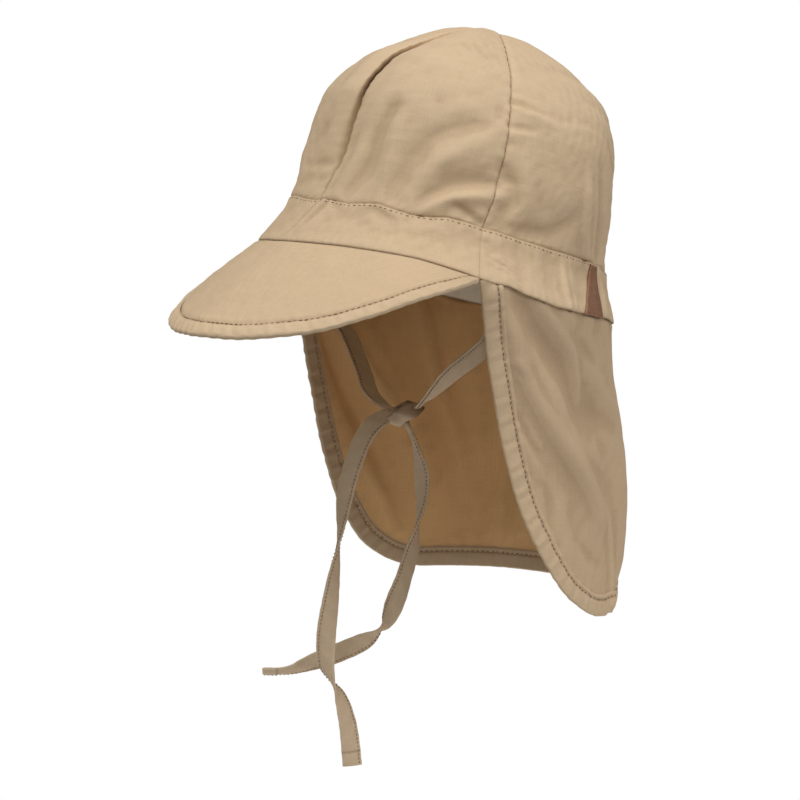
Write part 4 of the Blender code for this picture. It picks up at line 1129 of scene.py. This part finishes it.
def binding_piece():
    """The folded hem round the flap's free edge, sewn down, with a puckered inner lip."""
    places = edge_path()
    line = flap_skin(places[:, 0], places[:, 1])
    s = lengths_along(line)
    fine = np.linspace(0, s[-1], int(s[-1] / 0.0012))
    places = np.stack([np.interp(fine, s, places[:, k]) for k in range(2)], 1)
    count = len(places)
    reach = np.array([0.0, 0.9, 1.9, 2.9, 3.9, 4.8, 5.6, 6.2, 6.6, 7.0, 7.5, 8.1, 8.7, 9.2]) / 1000
    e_angle, e_level = places[:, 0], places[:, 1]
    here = flap_base(e_angle, e_level)
    low, high = np.clip(e_level - 0.01, 0, 1), np.clip(e_level + 0.01, 0, 1)
    step_a = flap_base(e_angle + 0.5, e_level) - flap_base(e_angle - 0.5, e_level)
    step_l = (flap_base(e_angle, high) - flap_base(e_angle, low)) / (high - low)[:, None]
    along = unit(np.gradient(here, axis=0))
    into = unit(np.cross(np.cross(step_a, step_l), along))
    centre = np.array([0.0, 0.02, -0.10])
    middle = flap_base(np.full(count, 180.0) * 0.5 + e_angle * 0.5, e_level * 0.6)
    into *= np.sign(np.einsum("ij,ij->i", into, middle - here))[:, None]
    aa = np.einsum("ij,ij->i", step_a, step_a)
    ab = np.einsum("ij,ij->i", step_a, step_l)
    bb = np.einsum("ij,ij->i", step_l, step_l)
    ra, rb = np.einsum("ij,ij->i", into, step_a), np.einsum("ij,ij->i", into, step_l)
    det = aa * bb - ab * ab
    move_a, move_l = (ra * bb - rb * ab) / det, (rb * aa - ra * ab) / det
    at_top = e_level < 1e-6
    move_l = np.where(at_top, 0, move_l)
    angle = e_angle[:, None] + move_a[:, None] * reach
    level = np.clip(e_level[:, None] + move_l[:, None] * reach, 0, 1)
    p = flap_skin(angle, level)
    away = np.broadcast_to(reach, angle.shape)
    at = np.broadcast_to(fine[:, None], angle.shape)
    normal = unit(np.cross(np.gradient(p, axis=1), np.gradient(p, axis=0)))
    radial = unit(p[..., :2] - centre[:2])
    sign = np.sign(np.einsum("ij,ij->i", normal[:, 5, :2], radial[:, 5]))
    sign = np.where(np.median(sign) > 0, 1.0, -1.0)
    normal = normal * sign
    p = p + normal * flap_ripple(away, at)[..., None]
    slant = np.sin(2 * math.pi * (at + 0.9 * away) / 0.0082 + 2.4 * np.sin(at / 0.019))
    slant *= 0.5 + 0.5 * np.sin(at / 0.023 + 0.4)
    slant += 0.5 * np.sin(2 * math.pi * (at + 0.6 * away) / 0.0043 + 1.7)
    lip = np.sin(2 * math.pi * at / 0.0058 + 1.2 * np.sin(at / 0.013) + 0.6)

    def skin(side):
        """Height of the binding's face over the flap's middle, on one side of the cloth."""
        rounded = 0.00112 + 0.00022 * np.sin(math.pi * np.clip(away / BINDING_STITCH, 0, 1)) ** 0.8
        rounded = rounded + side * 0.00004 * slant * np.sin(math.pi * np.clip(away / BINDING_STITCH, 0, 1))
        rounded = rounded - 0.00042 * bump(away - BINDING_STITCH, 0.0007)
        ridge = (0.00004 + 0.00012 * lip) * bump(away - 0.0078, 0.0008)
        rounded = rounded + ridge
        end = np.clip((away - 0.0084) / (BINDING_WIDTH - 0.0084), 0, 1)
        return rounded * (1 - 0.40 * end)

    outer = p + normal * skin(1.0)[..., None]
    inner = p - normal * skin(-0.7)[..., None]
    radius = 0.00112
    turns = np.radians(np.linspace(90, -90, 9))[1:-1]
    n0, tip = normal[:, 0], p[:, 0]
    edge_wave = (0.00004 * slant[:, 0])[:, None]
    roundel = [tip - into * (np.cos(t) * radius) + n0 * np.sin(t) * radius - into * edge_wave for t in turns]
    slot = FLAP_WALL / 2 + 0.0002
    slot_in = [p[:, k] - normal[:, k] * slot for k in (-1, 7, 1)]
    slot_out = [p[:, k] + normal[:, k] * slot for k in (1, 7, -1)]
    loops = [outer[:, k] for k in range(len(reach) - 1, -1, -1)] + roundel
    loops += [inner[:, k] for k in range(len(reach))] + slot_in + slot_out
    loops = np.stack(loops, 1)
    # Painted shade along the stitch line and the binding's inner edge, and more on its inner side.
    dark = 0.30 * bump(reach - BINDING_STITCH, 0.0006) + 0.12 * bump(reach - BINDING_WIDTH, 0.0005)
    worn = 0.25 * bump(reach - 0.0030, 0.0028)
    flat = np.zeros(6)
    shade = np.linspace(0, HEM_SHADE, len(turns))
    painted_shade = np.concatenate([dark[::-1], shade, dark + HEM_SHADE, flat])
    wear = np.concatenate([worn[::-1], np.full(len(turns), 0.5), worn, flat])
    across = np.concatenate([reach[::-1], -radius * np.sin(turns) * 0, reach + 0.0042, flat + 0.006])
    painted_shade = np.broadcast_to(painted_shade, (count, len(painted_shade)))
    wear = np.broadcast_to(wear, (count, len(wear)))
    uv = np.stack(np.broadcast_arrays(across, fine[:, None]), -1)
    piece = tube("binding_cloth", loops, uv, sand, painted_shade, wear)
    k = int(np.argmin(np.abs(reach - BINDING_STITCH)))
    lines = [(outer[:, k] + normal[:, k] * 0.00015, normal[:, k]), (inner[:, k] - normal[:, k] * 0.00003, -normal[:, k])]
    sewn = stitches("binding_stitches", lines, thread)
    return dressed(piece, "cloth", "flap_binding"), dressed(sewn, "cloth")


# The leather tab


def tab_piece():
    rows = spaced(BAND_HEIGHT - 0.0008, 0.0007, 0.0002)
    columns = spaced(0.019, 0.0006, 0.0002)
    share = rows[:, None]
    left = 115.6 + (107.4 - 115.6) * (1 - share)
    right = 120.0 + (119.6 - 120.0) * (1 - share)
    angle = left + (right - left) * columns
    level = np.broadcast_to((share * (BAND_HEIGHT - 0.0008)) / CROWN_HEIGHT, angle.shape)
    base, out = crown_base(angle, level), crown_out(angle, level)
    from_side = np.minimum(columns, 1 - columns) * 0.0185
    from_end = np.minimum(share, 1 - share) * BAND_HEIGHT
    edge = np.minimum(np.broadcast_to(from_side, angle.shape), np.broadcast_to(from_end, angle.shape))
    curl = 0.0004 * np.sin(math.pi * columns) ** 2 * (1 - share) + 0.00012 * waves(base, 0.009, 31)
    depth = BAND_STEP + 0.0010 + curl - 0.0005 * bump(edge, 0.0006)
    p = base + out * depth[..., None]
    p[..., 2] += seam_rise(angle, level * CROWN_HEIGHT)
    p = to_world(p)
    inner = p - grid_normal(p) * 0.0008
    wear = 0.75 * bump(edge, 0.0007) + 0.25 * np.clip(waves(base, 0.004, 32), 0, 1)
    uv = np.stack([np.radians(angle) * 0.085, level * CROWN_HEIGHT], -1)
    piece = shell("tab_leather", p, inner, uv, hide, np.zeros_like(angle), wear)
    return dressed(piece, "leather", "leather_tab")
# The ties. A route's point is x, y, z and the tape's roll; a hanging one is across, near, height, roll.

KNOT_PLANE = 52.0
KNOT_CENTRE = np.array([0.0, -0.0200, -0.0605])
TURN = math.radians(KNOT_PLANE)
ACROSS = np.array([math.cos(TURN), math.sin(TURN), 0.0])
NEAR = np.array([math.sin(TURN), -math.cos(TURN), 0.0])
UP = np.array([0.0, 0.0, 1.0])
FRONT = np.array([0.0, -1.0, 0.0])

TIE_LEFT = (
    (0.0694, -0.0196, 0.0125, 86),
    (0.0700, -0.0194, 0.0040, 88),
    (0.0685, -0.0194, -0.0060, 94),
    (0.0640, -0.0200, -0.0180, 106),
    (0.0545, -0.0215, -0.0270, 124),
    (0.0400, -0.0232, -0.0368, 116),
    (0.0224, -0.0216, -0.0492, 84),
    (0.0083, -0.0161, -0.0558, 72),
    (0.0022, -0.0166, -0.0594, 74),
)

TIE_RIGHT = (
    (-0.0694, -0.0196, 0.0125, 94),
    (-0.0700, -0.0192, 0.0040, 94),
    (-0.0670, -0.0174, -0.0070, 94),
    (-0.0590, -0.0153, -0.0190, 92),
    (-0.0451, -0.0170, -0.0302, 90),
    (-0.0297, -0.0206, -0.0445, 87),
    (-0.0198, -0.0240, -0.0528, 84),
    (-0.0080, -0.0236, -0.0582, 80),
    (-0.0012, -0.0214, -0.0602, 80),
)

TIE_END_FRONT = (
    (-0.0010, 0.0012, -0.0604, 58),
    (-0.0080, 0.0024, -0.0614, 40),
    (-0.0166, 0.0036, -0.0684, 28),
    (-0.0232, 0.0048, -0.0832, 28),
    (-0.0275, 0.0050, -0.0998, 36),
    (-0.0300, 0.0050, -0.1192, 84),
    (-0.0321, 0.0050, -0.1343, 120),
    (-0.0341, 0.0052, -0.1499, 148),
    (-0.0362, 0.0054, -0.1665, 180),
    (-0.0362, 0.0052, -0.1802, 216),
    (-0.0332, 0.0046, -0.1887, 258),
    (-0.0292, 0.0040, -0.1972, 304),
    (-0.0258, 0.0036, -0.2109, 332),
    (-0.0240, 0.0034, -0.2295, 354),
)

TIE_END_BACK = (
    (0.0012, -0.0020, -0.0640, 84),
    (0.0036, -0.0034, -0.0700, 80),
    (0.0062, -0.0044, -0.0780, 72),
    (0.0086, -0.0052, -0.0905, 42),
    (0.0084, -0.0056, -0.1026, 56),
    (0.0068, -0.0058, -0.1135, 90),
    (0.0040, -0.0060, -0.1277, 138),
    (-0.0008, -0.0062, -0.1442, 156),
    (-0.0070, -0.0064, -0.1600, 226),
    (-0.0105, -0.0065, -0.1652, 276),
    (-0.0190, -0.0066, -0.1716, 345),
    (-0.0320, -0.0070, -0.1776, 366),
    (-0.0430, -0.0070, -0.1818, 338),
    (-0.0545, -0.0066, -0.1858, 306),
    (-0.0668, -0.0062, -0.1862, 300),
)


def hung(rows):
    """A hanging route's points in the world: the plane of the free ends is turned from the front."""
    foot = np.array([KNOT_CENTRE[0], KNOT_CENTRE[1], 0.0])
    return [(*(foot + ACROSS * a + NEAR * n + UP * h), roll) for a, n, h, roll in rows]


def route_line(rows, step=0.0010):
    """A smooth line through a route with a point at every step, and the roll at each."""
    fine = smooth_line(np.array(rows), 12)
    s = lengths_along(fine[:, :3])
    even = np.linspace(0, s[-1], int(round(s[-1] / step)) + 1)
    out = np.stack([np.interp(even, s, fine[:, k]) for k in range(4)], 1)
    return out[:, :3], out[:, 3], even


def tape(name, rows, facing, node, squeezed, seed, cut=True):
    """A flat tie of folded tape: sewn along one edge, creased, and bunched where a knot squeezes it."""
    line, roll, s = route_line(rows)
    total = s[-1]
    ahead = unit(np.gradient(line, axis=0))
    across = unit(np.cross(facing, ahead))
    level = unit(np.cross(ahead, across))
    turn = np.radians(roll)[:, None]
    wide = across * np.cos(turn) + level * np.sin(turn)
    thick = level * np.cos(turn) - across * np.sin(turn)
    bunch = np.zeros_like(s)
    if "start" in squeezed:
        bunch = np.maximum(bunch, bump(s, 0.010))
    if "end" in squeezed:
        bunch = np.maximum(bunch, bump(total - s, 0.012))
    width = TIE_WIDTH * (1 - 0.22 * bunch)
    wall = TIE_WALL * (1 + 0.5 * bunch)
    if cut:
        folded = eased((s - total + 0.0075) / 0.0012)
        wall = wall * (1 + 0.35 * folded)
        last = np.clip((total - s) / 0.0008, 0, 1)
        wall = wall * (0.55 + 0.45 * last)
    at = np.radians(180 - (np.arange(14) + 0.5) * 180 / 14)
    x = np.sign(np.cos(at)) * np.abs(np.cos(at)) ** 0.62
    y = np.abs(np.sin(at)) ** 0.55
    x = np.concatenate([x, x[::-1]])
    y = np.concatenate([y, -y[::-1]])
    side = x[None, :] * width[:, None] / 2
    rise = y[None, :] * wall[:, None] / 2
    sewn_at = TIE_WIDTH / 2 - TIE_STITCH
    rise = rise - np.sign(y) * 0.00028 * bump(side - sewn_at, 0.0006) * (1 - bunch[:, None])
    crease = np.sin(2 * math.pi * (s[:, None] + 0.8 * side) / 0.0085 + 1.5 * np.sin(s[:, None] / 0.019) + seed)
    crease = crease + 0.5 * np.sin(2 * math.pi * (s[:, None] - 1.1 * side) / 0.0047 + 2 * seed)
    bend = 0.00006 * crease + 0.0006 * bunch[:, None] * np.sin(side / 0.0014 + s[:, None] / 0.006)
    cup = 0.00055 * np.sin(s / 0.021 + seed)[:, None] * ((side / (TIE_WIDTH / 2)) ** 2 - 0.4)
    edge = 0.00005 * np.sin(2 * math.pi * s / 0.0063 + 1.3 * np.sin(s / 0.017) + seed)[:, None] * x[None, :]
    loops = line[:, None] + wide[:, None] * (side + edge)[..., None]
    loops = loops + thick[:, None] * (rise + bend + cup)[..., None]
    # Painted shade along the stitch line, in bunched creases and at the fold by the cut end.
    painted_shade = 0.08 * bump(side - sewn_at, 0.00045) + 0.35 * bunch[:, None] * np.clip(-crease, 0, 1)
    if cut:
        painted_shade = np.maximum(painted_shade, 0.5 * bump(s - total + 0.0072, 0.0005)[:, None] + 0 * side)
    wear = 0.6 * np.abs(x[None, :]) ** 12 + 0.25 * np.clip(crease, 0, 1)
    uv = np.stack([side + (y < 0) * 0.004, np.broadcast_to(s[:, None], side.shape)], -1)
    piece = tube(name + "_tape", loops, uv, tape_look, np.clip(painted_shade, 0, 1), wear + 0 * side)
    dressed(piece, "tie_cloth", node)
    keep = (bunch < 0.45)
    face = np.clip(wall / 2 + 0.00002, 0, 1)[:, None]
    offset = bend[:, 2][:, None] + cup[:, 2][:, None]
    row = line + wide * sewn_at
    lines = [((row + thick * (offset + face))[keep], thick[keep]), ((row + thick * (offset - face))[keep], -thick[keep])]
    sewn = dressed(stitches(name + "_stitches", lines, thread, pitch=0.0019, length=0.0009, sink=0.00014), "tie_cloth")
    return piece


def knot_wrap(centre, tilt, across_size, near_size, up_size, width, wall, slide, seed):
    """A turn of tape round the knot: loops of its section round a closed ring, with map and marks."""
    count, sides = 72, 20
    round_at = np.arange(count) * 2 * math.pi / count
    a, u = ACROSS, UP
    axis = a * math.cos(math.radians(tilt)) + u * math.sin(math.radians(tilt))
    high = u * math.cos(math.radians(tilt)) - a * math.sin(math.radians(tilt))
    flat = lambda v: np.sign(v) * np.abs(v) ** 1.30
    spoke = NEAR[None] * flat(np.cos(round_at))[:, None] * near_size + high[None] * flat(np.sin(round_at))[:, None] * up_size
    ring = centre + spoke + axis * (slide * np.sin(round_at))[:, None]
    ahead = unit(np.roll(ring, -1, 0) - np.roll(ring, 1, 0))
    outward = unit(np.cross(axis[None], ahead))
    outward *= np.sign(np.einsum("ij,ij->i", outward, spoke))[:, None]
    at = np.radians(180 - (np.arange(sides // 2) + 0.5) * 360 / sides)
    x = np.sign(np.cos(at)) * np.abs(np.cos(at)) ** 0.7
    y = np.abs(np.sin(at)) ** 0.6
    x, y = np.concatenate([x, x[::-1]]), np.concatenate([y, -y[::-1]])
    pinch = 1 + 0.08 * np.sin(2 * round_at + seed) + 0.04 * np.sin(5 * round_at + 2 * seed)
    side = x[None, :] * width / 2 * pinch[:, None]
    fold = 0.00018 * np.sin(side / 0.0014 + 1.4 * np.sin(2 * round_at + seed)[:, None] + seed)
    fold = fold + 0.0002 * np.sin(3 * round_at + seed)[:, None] - 0.0002 * np.abs(x[None, :]) ** 6
    rise = y[None, :] * wall / 2 + fold
    loops = ring[:, None] + axis[None, None] * side[..., None] + outward[:, None] * rise[..., None]
    s = round_at * (near_size + up_size) / 2
    uv = np.stack([side + (y < 0) * 0.004, np.broadcast_to(s[:, None], side.shape)], -1)
    # Painted shade in fold troughs, at the edges and on the top of the turn.
    painted_shade_top = np.clip(np.sin(round_at) * 4, 0, 1)[:, None]
    painted_shade = np.clip(-fold / 0.0009, 0, 0.5) + 0.15 * np.abs(x[None, :]) ** 8 + 0.25 * painted_shade_top
    wear = np.clip(fold / 0.0009, 0, 0.5)
    return loops, uv, painted_shade, wear


def knot_piece():
    wraps = (
        ("knot_wrap", (0.0004, 0.0010, 0.0002), -20, 0.0096, 0.0064, 0.0060, 0.0092, 0.0014, 0.0036, 0.4),
        ("knot_turn", (-0.0030, -0.0006, -0.0006), -40, 0.0070, 0.0038, 0.0042, 0.0060, 0.0014, 0.0010, 1.9),
    )
    pieces = []
    for name, at, tilt, wide, near, high, width, wall, slide, seed in wraps:
        centre = KNOT_CENTRE + ACROSS * at[0] + NEAR * at[1] + UP * at[2]
        loops, uv, painted_shade, wear = knot_wrap(centre, tilt, wide, near, high, width, wall, slide, seed)
        piece = tube(name, loops, uv, tape_look, painted_shade, wear, closed=True)
        nodes = ("tie_knot",) if name == "knot_wrap" else ()
        pieces.append(dressed(piece, "tie_cloth", *nodes))
    return pieces


# The build: the ties come first

tape("tie_left", TIE_LEFT, FRONT, "tie_left", ("end",), 0.3, cut=False)
tape("tie_right", TIE_RIGHT, FRONT, "tie_right", ("end",), 1.4, cut=False)
tape("tie_end_front", hung(TIE_END_FRONT), NEAR, "tie_end_front", ("start",), 2.2)
tape("tie_end_back", hung(TIE_END_BACK), NEAR, "tie_end_back", ("start",), 3.1)
knot_piece()

crown_panel("crown_front_left", 0.0, SIDE_SEAM)
crown_panel("crown_back_left", SIDE_SEAM, 180.0)
crown_panel("crown_back_right", 180.0, 360.0 - SIDE_SEAM)
crown_panel("crown_front_right", 360.0 - SIDE_SEAM, 360.0)
band_piece("front_band", -SIDE_SEAM, SIDE_SEAM)
band_piece("back_band", SIDE_SEAM, 360.0 - SIDE_SEAM)
band_sewing = stitches("band_stitches", [line_on_band(-180.0, 180.0, BAND_HEIGHT - 0.0011, -0.0001)], thread)
dressed(band_sewing, "cloth")
peak_piece()
flap_cloth = flap_piece()
binding_cloth, binding_sewing = binding_piece()
tab_piece()

# The light, the floor and the camera

STAGE_CENTRE = Vector((0.0, 0.0, -0.04))
FLOOR_LEVEL = -0.375
FLOOR_SIZE = 0.36

# The studio's light by height, from straight below at 0 to straight above at 1
SKY_TINT = (1.0, 0.965, 0.915, 1.0)
SKY = ((0.0, 0.10), (0.46, 0.12), (0.52, 0.34), (0.70, 0.52), (1.0, 0.60))


def soft_light(name, azimuth, elevation, distance, size, power):
    data = bpy.data.lights.new(name, "AREA")
    data.shape, data.size, data.energy = "DISK", size, power
    light = bpy.data.objects.new(name, data)
    bpy.context.scene.collection.objects.link(light)
    a, e = math.radians(azimuth), math.radians(elevation)
    back = Vector((math.sin(a) * math.cos(e), -math.cos(a) * math.cos(e), math.sin(e)))
    light.location = STAGE_CENTRE + back * distance
    light.rotation_mode = "QUATERNION"
    light.rotation_quaternion = (-back).to_track_quat("-Z", "Y")


def floor():
    look, tree, shader = nodes_of("pale_floor", (0.92, 0.92, 0.92), 0.9)
    place = wire(tree, "ShaderNodeTexCoord", {}).outputs["Object"]
    fleck = noise(tree, place, 40.0, detail=3.0)
    base = blended(tree, fleck, (0.90, 0.90, 0.90), (0.94, 0.94, 0.94))
    tree.links.new(base, shader.inputs["Base Color"])
    shader.inputs["Emission Color"].default_value = (1.0, 1.0, 1.0, 1.0)
    shader.inputs["Emission Strength"].default_value = 0.06
    mesh = bpy.data.meshes.new("floor")
    count = 96
    ring = [(FLOOR_SIZE * math.cos(2 * math.pi * k / count), FLOOR_SIZE * math.sin(2 * math.pi * k / count),
             FLOOR_LEVEL) for k in range(count)]
    mesh.from_pydata(ring, [], [tuple(range(count))])
    mesh.materials.append(look)
    made_floor = bpy.data.objects.new("floor", mesh)
    bpy.context.scene.collection.objects.link(made_floor)


def world():
    made_world = bpy.data.worlds.new("studio")
    bpy.context.scene.world = made_world
    made_world.use_nodes = True
    tree = made_world.node_tree
    seen = wire(tree, "ShaderNodeLightPath", {}).outputs["Is Camera Ray"]
    way = wire(tree, "ShaderNodeTexCoord", {}).outputs["Generated"]
    rise = wire(tree, "ShaderNodeSeparateXYZ", {0: way}).outputs[2]
    ramp = wire(tree, "ShaderNodeValToRGB", {0: sum_of(tree, times(tree, rise, 0.5), 0.5)})
    stops = ramp.color_ramp.elements
    for place, level in SKY:
        stop = stops[0] if place == 0 else (stops[-1] if place == 1 else stops.new(place))
        stop.color = (level, level, level, 1.0)
    light = wire(tree, "ShaderNodeMix", {0: seen, 2: ramp.outputs[0], 3: 1.0}).outputs[0]
    ground = tree.nodes["Background"]
    tint = wire(tree, "ShaderNodeMix", {0: seen, 6: SKY_TINT, 7: (1.0, 1.0, 1.0, 1.0)}, data_type="RGBA").outputs[2]
    tree.links.new(tint, ground.inputs["Color"])
    tree.links.new(light, ground.inputs["Strength"])


def camera():
    a, e = math.radians(CAMERA_AZIMUTH), math.radians(CAMERA_ELEVATION)
    back = Vector((math.sin(a) * math.cos(e), -math.cos(a) * math.cos(e), math.sin(e)))
    right = Vector((math.cos(a), math.sin(a), 0.0))
    up = Vector((-math.sin(a) * math.sin(e), math.cos(a) * math.sin(e), math.cos(e)))
    data = bpy.data.cameras.new("camera")
    data.lens, data.sensor_width = CAMERA_LENS, CAMERA_SENSOR
    data.clip_start, data.clip_end = 0.05, 60.0
    eye = bpy.data.objects.new("camera", data)
    bpy.context.scene.collection.objects.link(eye)
    place = Matrix((right, up, back)).transposed().to_4x4()
    place.translation = right * AIM_RIGHT + up * AIM_UP + back * CAMERA_DISTANCE
    eye.matrix_world = place
    bpy.context.scene.camera = eye


bpy.context.scene.view_settings.view_transform = "Standard"
world()
floor()
soft_light("key", 15.0, 56.0, 2.0, 1.0, 18.5)
soft_light("fill", 108.0, 26.0, 2.2, 1.2, 16.0)
camera()
